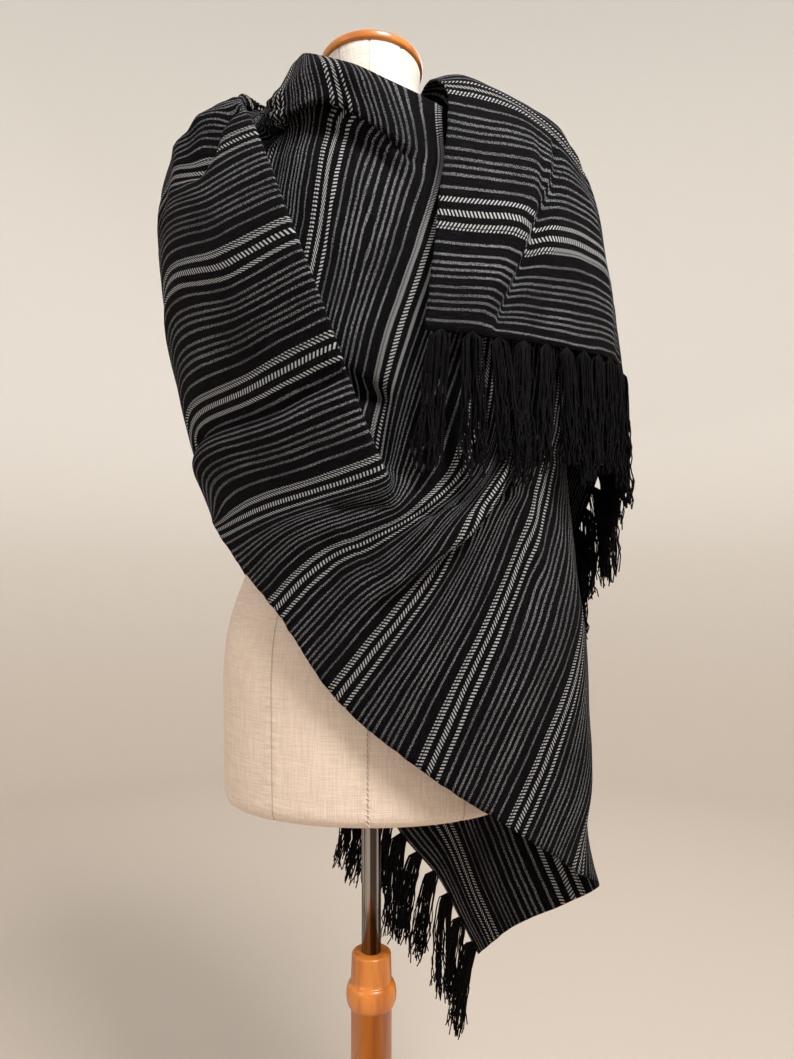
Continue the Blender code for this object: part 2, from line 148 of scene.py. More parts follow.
class Graph(Wiring):
    """A material's node tree, with short calls for the nodes that the finishes use."""

    def __init__(self, name: str) -> None:
        """Start a material that holds only its Principled shader.

        Args:
            name: the material's name.
        """
        self.material = bpy.data.materials.new(name)
        self.material.use_nodes = True
        super().__init__(self.material.node_tree)
        self.shader = self.tree.nodes["Principled BSDF"]

    def set(self, **values: object) -> None:
        """Fill the shader's inputs; underscores stand for spaces in their names."""
        for name, value in values.items():
            self.put(self.shader.inputs[name.replace("_", " ")], value)

    def fit(self, value: object, low: float, high: float, to_low: float = 0.0,
            to_high: float = 1.0) -> bpy.types.NodeSocket:
        """Map a range of values onto another with smooth ends.

        Args:
            value: the value to map.
            low: the value that gives to_low.
            high: the value that gives to_high.
            to_low: the result at low.
            to_high: the result at high.

        Returns:
            The mapped value.
        """
        node = self.tree.nodes.new("ShaderNodeMapRange")
        node.interpolation_type = "SMOOTHSTEP"
        for socket, number in zip(node.inputs, (value, low, high, to_low, to_high)):
            self.put(socket, number)
        return node.outputs[0]

    def mix(self, share: object, first: object, second: object) -> bpy.types.NodeSocket:
        """Blend two colours.

        Args:
            share: how much of the second shows.
            first: a colour or a socket.
            second: a colour or a socket.

        Returns:
            The blended colour.
        """
        node = self.tree.nodes.new("ShaderNodeMix")
        node.data_type = "RGBA"
        self.put(node.inputs["Factor"], share)
        inputs = [socket for socket in node.inputs if socket.type == "RGBA"]
        self.put(inputs[0], first)
        self.put(inputs[1], second)
        return next(socket for socket in node.outputs if socket.type == "RGBA")

    def object_place(self) -> bpy.types.NodeSocket:
        """Object coordinates, in metres."""
        return self.tree.nodes.new("ShaderNodeTexCoord").outputs["Object"]

    def uv(self, layer: str) -> tuple[bpy.types.NodeSocket, bpy.types.NodeSocket]:
        """Read a named UV layer.

        Args:
            layer: the layer's name.

        Returns:
            Its two coordinates.
        """
        node = self.tree.nodes.new("ShaderNodeUVMap")
        node.uv_map = layer
        parts = self.tree.nodes.new("ShaderNodeSeparateXYZ")
        self.put(parts.inputs[0], node.outputs[0])
        return parts.outputs[0], parts.outputs[1]

    def vector(self, x: object, y: object, z: object = 0.0) -> bpy.types.NodeSocket:
        """Join three values into a vector.

        Args:
            x: the first value or socket.
            y: the second.
            z: the third.

        Returns:
            The vector.
        """
        node = self.tree.nodes.new("ShaderNodeCombineXYZ")
        for socket, value in zip(node.inputs, (x, y, z)):
            self.put(socket, value)
        return node.outputs[0]

    def stretched(self, place: object, scale: Sequence[float]) -> bpy.types.NodeSocket:
        """Scale a place by three factors.

        Args:
            place: the coordinates.
            scale: the factors along X, Y and Z.

        Returns:
            The scaled coordinates.
        """
        node = self.tree.nodes.new("ShaderNodeMapping")
        self.put(node.inputs["Vector"], place)
        self.put(node.inputs["Scale"], tuple(scale))
        return node.outputs[0]

    def noise(self, place: object, scale: float, detail: float = 2.0, rough: float = 0.5,
              dimensions: str = "3D") -> bpy.types.NodeSocket:
        """Noise from about 0.3 to 0.7.

        Args:
            place: the coordinates.
            scale: how many cells to a unit.
            detail: how many octaves.
            rough: how strong the higher octaves are.
            dimensions: the noise's number of dimensions.

        Returns:
            The noise value.
        """
        node = self.tree.nodes.new("ShaderNodeTexNoise")
        node.noise_dimensions = dimensions
        self.put(node.inputs["Vector"], place)
        node.inputs["Scale"].default_value = scale
        node.inputs["Detail"].default_value = detail
        node.inputs["Roughness"].default_value = rough
        return node.outputs[0]

    def bump(self, height: object, strength: float, distance: float) -> None:
        """Send a height through a Bump node to the shader's normal.

        Args:
            height: the height, in shares of distance.
            strength: how much of the relief shows, from 0 to 1.
            distance: the relief's size in metres.
        """
        node = self.tree.nodes.new("ShaderNodeBump")
        node.inputs["Strength"].default_value = strength
        node.inputs["Distance"].default_value = distance
        self.put(node.inputs["Height"], height)
        self.put(self.shader.inputs["Normal"], node.outputs[0])


class Mark(Enum):
    """How a stripe is patterned, as the channel of the chart that holds it."""

    RISING = (1.0, 0.0, 0.0, 0.0)
    FALLING = (0.0, 1.0, 0.0, 0.0)
    DOUBLE = (0.0, 0.0, 1.0, 0.0)
    DOTTED = (0.0, 0.0, 0.0, 1.0)


@dataclass(frozen=True)
class Stripe:
    """One stripe of the pattern: its middle as a share of the repeat, its width and its mark."""

    middle: float
    width_mm: float
    mark: Mark


@dataclass(frozen=True)
class ShawlFinish:
    """Black cloth with ikat-dashed white stripes and speckled grey ones, from the cloth's UV map.

    Lengths are metres of cloth, and places are shares of the repeat. The dashes lean the other way
    past turned_over, and the first white stripe stops where the hem begins. Cells are noise cells to
    a metre.
    """

    repeat: float = 0.120
    phase: float = 0.801
    turned_over: float = 1.440
    hem_begins: float = 1.829
    dash_pitch: float = 0.0037
    dash_leans: tuple[float, float, float] = (-0.62, 0.50, -0.55)
    dash_edge: tuple[float, float] = (0.21, 0.35)
    parting: float = 0.312
    speckle_pitch: tuple[float, float] = (0.0021, 0.0024)
    thread_pitch: tuple[float, float] = (0.0011, 0.0012)
    fleck_cells: tuple[float, float] = (760.0, 900.0)
    jitter_cells: tuple[float, float] = (760.0, 90.0)
    thick_cells: tuple[float, float] = (55.0, 1100.0)
    jitter: float = 0.0013
    ground: Colour = (0.0020, 0.0018, 0.0022)
    ground_light: Colour = (0.0100, 0.0098, 0.0115)
    white: Colour = (0.385, 0.39, 0.405)
    grey: Colour = (0.270, 0.277, 0.303)
    stripes: tuple[Stripe, ...] = (
        Stripe(0.100, 4.3, Mark.RISING),
        Stripe(0.201, 5.8, Mark.FALLING),
        Stripe(0.303, 6.6, Mark.DOUBLE),
        Stripe(0.430, 2.4, Mark.DOTTED),
        Stripe(0.518, 2.3, Mark.DOTTED),
        Stripe(0.580, 2.4, Mark.DOTTED),
        Stripe(0.633, 2.3, Mark.DOTTED),
        Stripe(0.686, 2.4, Mark.DOTTED),
        Stripe(0.765, 2.3, Mark.DOTTED),
        Stripe(0.827, 2.4, Mark.DOTTED),
        Stripe(0.880, 2.3, Mark.DOTTED),
        Stripe(0.933, 2.4, Mark.DOTTED),
        Stripe(0.021, 2.4, Mark.DOTTED),
    )

    def chart(self, graph: Graph, place: object) -> list[bpy.types.NodeSocket]:
        """Lay the stripes out over one repeat.

        Args:
            graph: the material's graph.
            place: the place within the repeat, from 0 to 1.

        Returns:
            One mask for each kind of mark, in the order of Mark.
        """
        ramp_node = graph.tree.nodes.new("ShaderNodeValToRGB")
        ramp = ramp_node.color_ramp
        ramp.interpolation = "CONSTANT"
        graph.put(ramp_node.inputs[0], place)
        ramp.elements.remove(ramp.elements[1])
        ramp.elements[0].position = 0.0
        ramp.elements[0].color = (0.0, 0.0, 0.0, 0.0)
        for stripe in self.stripes:
            half = stripe.width_mm * MM / self.repeat / 2
            ramp.elements.new(stripe.middle - half).color = stripe.mark.value
            ramp.elements.new(stripe.middle + half).color = (0.0, 0.0, 0.0, 0.0)
        split = graph.tree.nodes.new("ShaderNodeSeparateColor")
        graph.put(split.inputs[0], ramp_node.outputs["Color"])
        return [split.outputs[0], split.outputs[1], split.outputs[2], ramp_node.outputs["Alpha"]]

    def dashes(self, graph: Graph, u: object, v: object, lean: float) -> bpy.types.NodeSocket:
        """Slanted dashes along a stripe.

        Args:
            graph: the material's graph.
            u: metres across the cloth.
            v: metres along the cloth.
            lean: how far a dash moves along the stripe for each metre across the stripe.

        Returns:
            1 on a dash and 0 between dashes.
        """
        even = graph.math("DIVIDE", u, self.dash_pitch)
        leaning = graph.math("MULTIPLY_ADD", v, lean / self.dash_pitch, even)
        saw = graph.math("PINGPONG", leaning, 0.5)
        return graph.fit(saw, *self.dash_edge)

    @staticmethod
    def threads(graph: Graph, u: object, v: object, pitch: tuple[float, float]) -> bpy.types.NodeSocket:
        """Rows of crossing waves.

        Args:
            graph: the material's graph.
            u: metres across the cloth.
            v: metres along the cloth.
            pitch: the waves' lengths across and along.

        Returns:
            The waves' product, from -1 to 1.
        """
        waves = [graph.math("SINE", graph.math("MULTIPLY", value, math.tau / length))
                 for value, length in zip((u, v), pitch)]
        return graph.math("MULTIPLY", *waves)

    @staticmethod
    def slubs(graph: Graph, u: object, v: object, cells: tuple[float, float],
              dimensions: str = "2D") -> bpy.types.NodeSocket:
        """Uneven thread, as noise with its own cells across and along.

        Args:
            graph: the material's graph.
            u: metres across the cloth.
            v: metres along the cloth.
            cells: noise cells to a metre across and along.
            dimensions: the noise's number of dimensions.

        Returns:
            The noise value.
        """
        place = graph.vector(graph.math("MULTIPLY", u, cells[0]), graph.math("MULTIPLY", v, cells[1]))
        return graph.noise(place, 1.0, 1.0, dimensions=dimensions)

    def bold(self, graph: Graph, u: object, v: object, place: object,
             masks: Sequence[bpy.types.NodeSocket]) -> bpy.types.NodeSocket:
        """Dash the three white stripes.

        Args:
            graph: the material's graph.
            u: metres across the cloth.
            v: metres along the cloth.
            place: the place within the repeat, from 0 to 1.
            masks: where the rising, falling and double stripes lie.

        Returns:
            1 on white and 0 elsewhere.
        """
        side = graph.fit(v, self.turned_over - MM, self.turned_over + MM, -1.0, 1.0)
        sided = graph.math("MULTIPLY", v, side)
        first, second, third = [
            graph.math("MULTIPLY", mask, self.dashes(graph, u, sided, lean))
            for mask, lean in zip(masks, self.dash_leans)]
        before_hem = graph.fit(v, self.hem_begins, self.hem_begins + MM, 1.0, 0.0)
        from_parting = graph.math("ABSOLUTE", graph.math("SUBTRACT", place, self.parting))
        first = graph.math("MULTIPLY", first, before_hem)
        third = graph.math("MULTIPLY", third, graph.fit(from_parting, 0.002, 0.006))
        return graph.math("ADD", first, graph.math("ADD", second, third), clamp=True)

    def material(self) -> bpy.types.Material:
        """Build the cloth's material.

        Returns:
            The new material.
        """
        graph = Graph("striped_handwoven_cotton")
        u, v = graph.uv("cloth")
        jitter = graph.math("SUBTRACT", self.slubs(graph, u, v, self.jitter_cells, "3D"), 0.5)
        along = graph.math("MULTIPLY_ADD", jitter, self.jitter, v)
        place = graph.math("FRACT", graph.math("MULTIPLY_ADD", along, 1.0 / self.repeat, self.phase))
        *masks, dotted = self.chart(graph, place)
        fleck = self.slubs(graph, u, v, self.fleck_cells)
        thick = self.slubs(graph, u, v, self.thick_cells)
        faded = graph.noise(graph.vector(u, v), 14.0, 3.0)
        speckle = self.threads(graph, u, v, self.speckle_pitch)
        shown = graph.fit(graph.math("MULTIPLY_ADD", speckle, 0.17, fleck), 0.47, 0.57)
        ground = graph.mix(graph.math("MULTIPLY", graph.fit(fleck, 0.52, 0.74), 0.75), self.ground,
                           self.ground_light)
        ground = graph.mix(graph.fit(thick, 0.50, 0.75, 0.0, 0.5), ground, self.ground_light)
        grey = graph.mix(graph.fit(faded, 0.30, 0.70, 0.0, 0.55), self.grey, self.ground_light)
        white = graph.mix(graph.math("MULTIPLY", graph.fit(fleck, 0.30, 0.60, 1.0, 0.0), 0.45),
                          self.white, self.grey)
        colour = graph.mix(graph.math("MULTIPLY", dotted, graph.math("MULTIPLY_ADD", shown, 0.80, 0.07)),
                           ground, grey)
        colour = graph.mix(self.bold(graph, u, v, place, masks), colour, white)
        graph.set(Base_Color=colour, Roughness=0.92, Specular_IOR_Level=0.04)
        weave = self.threads(graph, u, v, self.thread_pitch)
        height = graph.math("MULTIPLY_ADD", weave, 0.35, graph.math("ADD", thick, fleck))
        graph.bump(height, 0.55, 0.0007)
        return graph.material


@dataclass(frozen=True)
class YarnFinish:
    """Loose cotton yarn, black unless other colours are given."""

    name: str = "black_fringe_yarn"
    colour: Colour = (0.0022, 0.0020, 0.0024)
    light: Colour = (0.0120, 0.0115, 0.0130)

    def material(self) -> bpy.types.Material:
        """Build the yarn's material.

        Returns:
            The new material.
        """
        graph = Graph(self.name)
        place = graph.object_place()
        ply = graph.noise(graph.stretched(place, (900.0, 900.0, 420.0)), 1.0, 2.0)
        lock = graph.noise(graph.stretched(place, (160.0, 160.0, 22.0)), 1.0, 2.0)
        shade = graph.math("MULTIPLY", graph.fit(ply, 0.35, 0.70), graph.fit(lock, 0.30, 0.70, 0.35, 1.0))
        graph.set(Base_Color=graph.mix(shade, self.colour, self.light), Roughness=0.88,
                  Specular_IOR_Level=0.06)
        graph.bump(ply, 0.6, 0.0005)
        return graph.material


@dataclass(frozen=True)
class CanvasFinish:
    """Cream linen canvas with slubs, darker sewn seams and puckers beside them."""

    pale: Colour = (0.84, 0.81, 0.76)
    cream: Colour = (0.78, 0.655, 0.555)
    shade: Colour = (0.50, 0.385, 0.31)
    seam: Colour = (0.42, 0.32, 0.25)

    def material(self) -> bpy.types.Material:
        """Build the canvas's material.

        Returns:
            The new material.
        """
        graph = Graph("linen_canvas")
        place = graph.object_place()
        across = graph.noise(graph.stretched(place, (38.0, 38.0, 1050.0)), 1.0, 2.0)
        upright = graph.noise(graph.stretched(place, (780.0, 780.0, 34.0)), 1.0, 2.0)
        stain = graph.noise(place, 7.0, 3.0)
        threads = graph.math("MULTIPLY", graph.math("ADD", across, upright), 0.5)
        height = graph.tree.nodes.new("ShaderNodeSeparateXYZ")
        graph.put(height.inputs[0], place)
        colour = graph.mix(graph.fit(height.outputs[2], 1.05, 1.42), self.cream, self.pale)
        colour = graph.mix(graph.fit(threads, 0.62, 0.38, 0.0, 0.42), colour, self.shade)
        colour = graph.mix(graph.fit(stain, 0.30, 0.75, 0.0, 0.12), colour, self.shade)
        gore, level = graph.uv("form")
        off = graph.math("PINGPONG", gore, 0.5)
        line = graph.fit(off, 0.010, 0.003)
        beside = graph.fit(off, 0.13, 0.02)
        pucker = graph.noise(graph.vector(graph.math("MULTIPLY", gore, 5.0),
                                          graph.math("MULTIPLY", level, 120.0)), 1.0, 1.0)
        colour = graph.mix(graph.math("MULTIPLY", line, 0.70), colour, self.seam)
        graph.set(Base_Color=colour, Roughness=0.90, Specular_IOR_Level=0.20)
        rise = graph.math("MULTIPLY_ADD", graph.math("MULTIPLY", pucker, beside), 2.6, threads)
        graph.bump(graph.math("MULTIPLY_ADD", line, -1.4, rise), 0.5, 0.0012)
        return graph.material


@dataclass(frozen=True)
class WoodFinish:
    """Varnished, orange-brown turned wood with its grain upright."""

    name: str = "varnished_wood"
    light: Colour = (0.62, 0.205, 0.028)
    dark: Colour = (0.42, 0.115, 0.012)
    grain: tuple[float, float, float] = (95.0, 95.0, 5.0)

    def material(self) -> bpy.types.Material:
        """Build the wood's material.

        Returns:
            The new material.
        """
        graph = Graph(self.name)
        place = graph.object_place()
        warp = graph.noise(graph.stretched(place, tuple(x * 0.25 for x in self.grain)), 1.0, 2.0)
        fibre = graph.noise(graph.stretched(place, tuple(x * 5 for x in self.grain)), 1.0, 3.0)
        band = graph.noise(graph.stretched(place, self.grain), 1.0, 4.0, 0.6)
        share = graph.math("MULTIPLY_ADD", graph.math("SUBTRACT", warp, 0.5), 0.8, band)
        colour = graph.mix(graph.fit(share, 0.34, 0.70), self.light, self.dark)
        colour = graph.mix(graph.fit(fibre, 0.55, 0.80, 0.0, 0.5), colour, self.dark)
        graph.set(Base_Color=colour, Roughness=graph.fit(fibre, 0.3, 0.7, 0.30, 0.42), Coat_Weight=0.35,
                  Coat_Roughness=0.12)
        graph.bump(fibre, 0.15, 0.0004)
        return graph.material


@dataclass(frozen=True)
class SteelFinish:
    """Dark, drawn steel tube, with dark upright streaks painted into its colour as reflections of a room."""

    colour: Colour = (0.40, 0.37, 0.34)
    # dark is the colour of the painted reflections: the streaks that stand in for what a real tube mirrors.
    dark: Colour = (0.055, 0.043, 0.036)

    def material(self) -> bpy.types.Material:
        """Build the steel's material.

        Returns:
            The new material.
        """
        graph = Graph("drawn_steel_tube_with_painted_reflections")
        place = graph.object_place()
        drawn = graph.noise(graph.stretched(place, (2600.0, 2600.0, 9.0)), 1.0, 2.0)
        # Painted reflections: noise streaks along the tube darken its colour where a real tube would mirror
        # dark parts of a room.
        painted_reflection_streak = graph.noise(graph.stretched(place, (230.0, 230.0, 0.6)), 1.0, 2.0)
        graph.set(Base_Color=graph.mix(graph.fit(painted_reflection_streak, 0.38, 0.60), self.colour, self.dark),
                  Metallic=1.0, Roughness=graph.fit(drawn, 0.3, 0.7, 0.14, 0.28))
        graph.bump(drawn, 0.12, 0.0002)
        return graph.material


@dataclass(frozen=True)
class Crease:
    """A soft ridge, or a trough where depth is negative, along a line on the panel.

    station and across are where it starts, end_station and end_across where it ends. Stations
    count pattern repeats along the panel, across counts the section's points; width and depth
    are millimetres.
    """

    station: float
    across: float
    end_station: float
    end_across: float
    width: float
    depth: float

    def heights(self, x: np.ndarray, y: np.ndarray, repeat: float, pitch: float) -> np.ndarray:
        """Its height over a grid of places.

        Args:
            x: metres along the panel.
            y: metres across the panel.
            repeat: metres to a station.
            pitch: metres to a place across.

        Returns:
            One height in metres for each place.
        """
        start = np.array((self.station * repeat, self.across * pitch))
        run = np.array((self.end_station * repeat, self.end_across * pitch)) - start
        length = np.linalg.norm(run)
        direction = run / length
        forward = ((x - start[0]) * direction[0] + (y - start[1]) * direction[1]) / length
        off = (x - start[0]) * direction[1] - (y - start[1]) * direction[0]
        ends = np.clip(forward * 4, 0, 1) * np.clip((1 - forward) * 4 + 0.35, 0, 1)
        return self.depth * MM * np.exp(-((off / (self.width * MM)) ** 2)) * ends


# Broad creases.
CREASES = (
    Crease(0.25, 0.0, 0.30, 9.0, 16, 5),
    Crease(0.75, 0.5, 0.90, 10.0, 16, -6),
    Crease(1.80, 3.0, 1.95, 11.0, 14, 5),
    Crease(2.85, 6.0, 2.90, 11.0, 12, -6),
    Crease(3.85, 6.5, 3.60, 11.0, 11, 6),
    Crease(4.50, 2.6, 4.30, 8.5, 11, -5),
    Crease(4.95, 1.4, 4.85, 7.6, 12, 7),
    Crease(9.00, 0.7, 9.60, 2.2, 12, -6),
    Crease(9.80, 0.7, 10.00, 2.4, 14, 5),
    Crease(10.90, 0.3, 10.90, 3.0, 18, -8),
    Crease(11.70, 0.2, 11.80, 3.4, 20, 8),
    Crease(12.45, 0.3, 12.60, 3.2, 18, -8),
    Crease(13.60, 8.4, 15.30, 9.7, 11, -6),
    Crease(14.10, 1.0, 15.30, 1.6, 14, 6),
)


# Shorter and lower creases between them.
FINE_CREASES = (
    Crease(15.05, 5.6, 14.15, 4.9, 7, -5),
    Crease(14.35, 4.7, 13.75, 4.4, 9, -4),
    Crease(14.75, 7.4, 14.35, 10.2, 16, 2),
    Crease(14.05, 6.2, 13.90, 9.8, 15, 2),
    Crease(15.10, 2.0, 13.80, 2.9, 13, 3),
    Crease(15.05, 8.9, 14.25, 9.3, 10, -2),
    Crease(5.95, 6.9, 6.45, 9.6, 10, 3),
    Crease(5.60, 3.6, 5.15, 5.4, 9, 4),
    Crease(5.50, 3.3, 4.75, 4.3, 10, -4),
    Crease(5.55, 2.6, 4.50, 1.4, 13, 3),
    Crease(5.80, 1.6, 5.00, 0.6, 12, -3),
    Crease(4.10, 3.5, 3.10, 2.2, 15, 3),
    Crease(3.60, 4.8, 3.10, 6.0, 13, -3),
    Crease(3.10, 0.5, 2.60, 3.0, 14, 3),
    Crease(7.20, 0.4, 7.60, 2.2, 13, -3),
    Crease(8.10, 0.5, 8.60, 2.3, 14, 3),
    Crease(6.80, 7.2, 8.40, 7.8, 11, 3),
    Crease(7.60, 6.6, 8.70, 7.0, 10, 2),
    Crease(8.80, 9.3, 10.60, 9.0, 8, 2),
)


# Metres in which the weave jumps at a fold's line, and how far below it the jump fades out.
JUMP_WIDTH = 0.0025
JUMP_REACH = 0.11


@dataclass(frozen=True)
class Fold:
    """A sharper ridge, or a trough where depth is negative, along a bent line on the panel.

    path holds its (station, across) places. above and below are its widths on either side:
    above is toward the upper selvedge where the line runs forward, and toward the back end
    where it runs upward. step is the cloth hidden in it, as a jump of the weave below the
    line. Widths, depth and step are millimetres.
    """

    path: tuple[tuple[float, float], ...]
    above: float
    below: float
    depth: float
    step: float = 0.0

    def offsets(self, x: np.ndarray, y: np.ndarray, repeat: float,
                pitch: float) -> tuple[np.ndarray, np.ndarray]:
        """Measure a grid of places from the line.

        Args:
            x: metres along the panel.
            y: metres across the panel.
            repeat: metres to a station.
            pitch: metres to a place across.

        Returns:
            The signed distance of each place, above positive, and the fade toward the ends.
        """
        points = np.array(self.path) * (repeat, pitch)
        steps = np.diff(points, axis=0)
        lengths = np.linalg.norm(steps, axis=1)
        begun = np.concatenate(([0.0], np.cumsum(lengths)))
        nearest = np.full(x.shape, 1e9)
        signed = np.zeros(x.shape)
        share = np.zeros(x.shape)
        for start, step, length, before in zip(points, steps, lengths, begun):
            dx, dy = x - start[0], y - start[1]
            forward = np.clip((dx * step[0] + dy * step[1]) / length**2, 0.0, 1.0)
            distance = np.hypot(dx - forward * step[0], dy - forward * step[1])
            closer = distance < nearest
            nearest = np.where(closer, distance, nearest)
            signed = np.where(closer, np.sign(step[0] * dy - step[1] * dx) * distance, signed)
            share = np.where(closer, (before + forward * length) / begun[-1], share)
        fade = np.clip(share * 5, 0, 1) * np.clip((1 - share) * 5, 0, 1)
        return signed, fade * fade * (3 - 2 * fade)

    def heights(self, x: np.ndarray, y: np.ndarray, repeat: float, pitch: float) -> np.ndarray:
        """Its height over a grid of places.

        Args:
            x: metres along the panel.
            y: metres across the panel.
            repeat: metres to a station.
            pitch: metres to a place across.

        Returns:
            One height in metres for each place.
        """
        off, fade = self.offsets(x, y, repeat, pitch)
        width = np.where(off > 0, self.above, self.below) * MM
        return self.depth * MM * np.exp(-((off / width) ** 2)) * fade

    def hidden(self, x: np.ndarray, y: np.ndarray, repeat: float, pitch: float) -> np.ndarray:
        """How far the weave jumps at a grid of places.

        Args:
            x: metres along the panel.
            y: metres across the panel.
            repeat: metres to a station.
            pitch: metres to a place across.

        Returns:
            One jump in metres for each place.
        """
        off, fade = self.offsets(x, y, repeat, pitch)
        below = 0.5 - 0.5 * np.tanh(off / JUMP_WIDTH)
        return self.step * MM * below * np.exp(-((off / JUMP_REACH) ** 2)) * fade


FOLDS = (
    # The hollow under the collar and the collar's roll.
    Fold(((7.25, 8.66), (7.60, 8.52), (8.10, 8.36), (8.50, 8.18), (8.85, 7.95), (9.15, 7.70)), 5, 16, -22),
    Fold(((6.50, 9.00), (7.00, 8.86), (7.40, 8.62), (7.90, 8.42), (8.40, 8.2)), 5, 13, -8),
    Fold(((6.80, 9.6), (7.60, 9.4), (8.40, 9.10), (9.10, 8.7)), 16, 9, 9),
    Fold(((7.70, 8.95), (8.10, 8.85), (8.60, 8.60), (9.15, 8.20)), 13, 6, 9),
    # The left shoulder, and the ridge from it to the neck.
    Fold(((9.20, 1.7), (9.46, 2.1), (9.70, 2.25), (9.88, 2.6), (9.92, 3.0)), 8, 10, -15),
    Fold(((9.10, 1.3), (9.45, 1.6), (9.75, 1.65), (10.05, 1.8)), 8, 9, 7),
    Fold(((9.90, 1.9), (10.15, 2.3), (10.30, 3.1)), 10, 9, 3),
    Fold(((10.20, 2.6), (10.34, 3.6), (10.40, 5.0), (10.40, 6.8), (10.40, 8.4)), 15, 17, 11),
    # The front end, from the right shoulder to its hem.
    Fold(((13.50, 7.8), (13.80, 8.12), (14.06, 8.5), (14.27, 8.95), (14.47, 9.2), (14.80, 9.35),
          (15.40, 9.6)), 3.5, 15, -6, -9.0),
    Fold(((13.50, 8.3), (13.80, 8.55), (14.06, 8.9), (14.27, 9.35), (14.47, 9.6), (14.80, 9.75),
          (15.40, 10.0)), 26, 9, 3),
    # The front, below the flap.
    Fold(((4.86, 0.6), (4.70, 1.29), (4.65, 1.86), (4.55, 2.33), (4.34, 2.75), (4.19, 3.5), (4.30, 5.2),
          (4.50, 7.0)), 5, 22, 8, 8.0),
    Fold(((4.72, 0.8), (4.56, 1.3), (4.48, 1.9), (4.36, 2.4), (4.14, 2.9), (4.02, 3.6), (4.10, 5.0)),
         13, 5, -6),
    Fold(((6.10, 1.8), (5.90, 2.4), (5.72, 2.95)), 9, 9, -8),
    # The deep fold at the chest, the flap's left side and the ridge over the deep fold.
    Fold(((6.25, 6.95), (6.45, 6.95), (6.85, 6.85), (7.30, 6.80)), 3, 19, -19, 7.0),
    Fold(((7.33, -0.3), (7.27, 0.6), (7.20, 1.4), (7.17, 2.1), (7.21, 2.7), (7.26, 3.4)), 7, 5, -11),
    Fold(((7.08, 0.4), (7.02, 1.4), (7.00, 2.1), (7.03, 2.7), (7.06, 3.2)), 12, 7, 3),
    Fold(((6.30, 7.30), (6.50, 7.25), (6.85, 7.15), (7.15, 7.1)), 18, 8, 3),
    # The front, near its hem.
    Fold(((3.95, 0.3), (3.85, 1.1), (3.60, 1.9), (3.45, 3.0)), 12, 14, 4),
    Fold(((3.40, 0.4), (3.30, 1.4), (3.10, 2.4)), 12, 12, -4),
)


@dataclass(frozen=True)
class Ring:
    """One level ring of the dress form: height above its bottom, half width, front and back."""

    height: float
    half_width: float
    front: float
    back: float


TORSO_RINGS = (
    Ring(0.000, 0.154, 0.102, 0.108),
    Ring(0.004, 0.160, 0.108, 0.114),
    Ring(0.010, 0.163, 0.111, 0.117),
    Ring(0.025, 0.164, 0.112, 0.118),
    Ring(0.087, 0.165, 0.113, 0.119),
    Ring(0.155, 0.165, 0.112, 0.118),
    Ring(0.190, 0.161, 0.110, 0.114),
    Ring(0.223, 0.152, 0.106, 0.106),
    Ring(0.252, 0.141, 0.102, 0.098),
    Ring(0.300, 0.128, 0.096, 0.088),
    Ring(0.380, 0.118, 0.090, 0.082),
    Ring(0.450, 0.128, 0.100, 0.086),
    Ring(0.530, 0.148, 0.118, 0.092),
    Ring(0.580, 0.158, 0.118, 0.098),
    Ring(0.640, 0.170, 0.104, 0.100),
    Ring(0.685, 0.168, 0.087, 0.094),
    Ring(0.706, 0.150, 0.076, 0.085),
    Ring(0.724, 0.120, 0.066, 0.076),
    Ring(0.740, 0.088, 0.061, 0.070),
    Ring(0.757, 0.066, 0.062, 0.068),
    Ring(0.775, 0.056, 0.065, 0.066),
    Ring(0.815, 0.055, 0.066, 0.066),
)


@dataclass(frozen=True)
class Section:
    """One section across the panel, as points (x, y, z) in mm from the lower selvedge up.

    station counts pattern repeats from the back end. On the left the cloth doubles over: flap
    is its outer side, edge and behind the fold, valley and turn where it turns back, chest the
    panel beneath, and tuck, roll and crest shape the collar. Elsewhere they are places along a
    plain section.
    """

    station: float
    hem: tuple[float, float, float]
    side: tuple[float, float, float]
    flap: tuple[float, float, float]
    edge: tuple[float, float, float]
    behind: tuple[float, float, float]
    valley: tuple[float, float, float]
    turn: tuple[float, float, float]
    chest: tuple[float, float, float]
    tuck: tuple[float, float, float]
    roll: tuple[float, float, float]
    crest: tuple[float, float, float]
    top: tuple[float, float, float]

    def points(self) -> np.ndarray:
        """The section's points in metres."""
        return np.array((self.hem, self.side, self.flap, self.edge, self.behind, self.valley,
                         self.turn, self.chest, self.tuck, self.roll, self.crest, self.top)) * MM


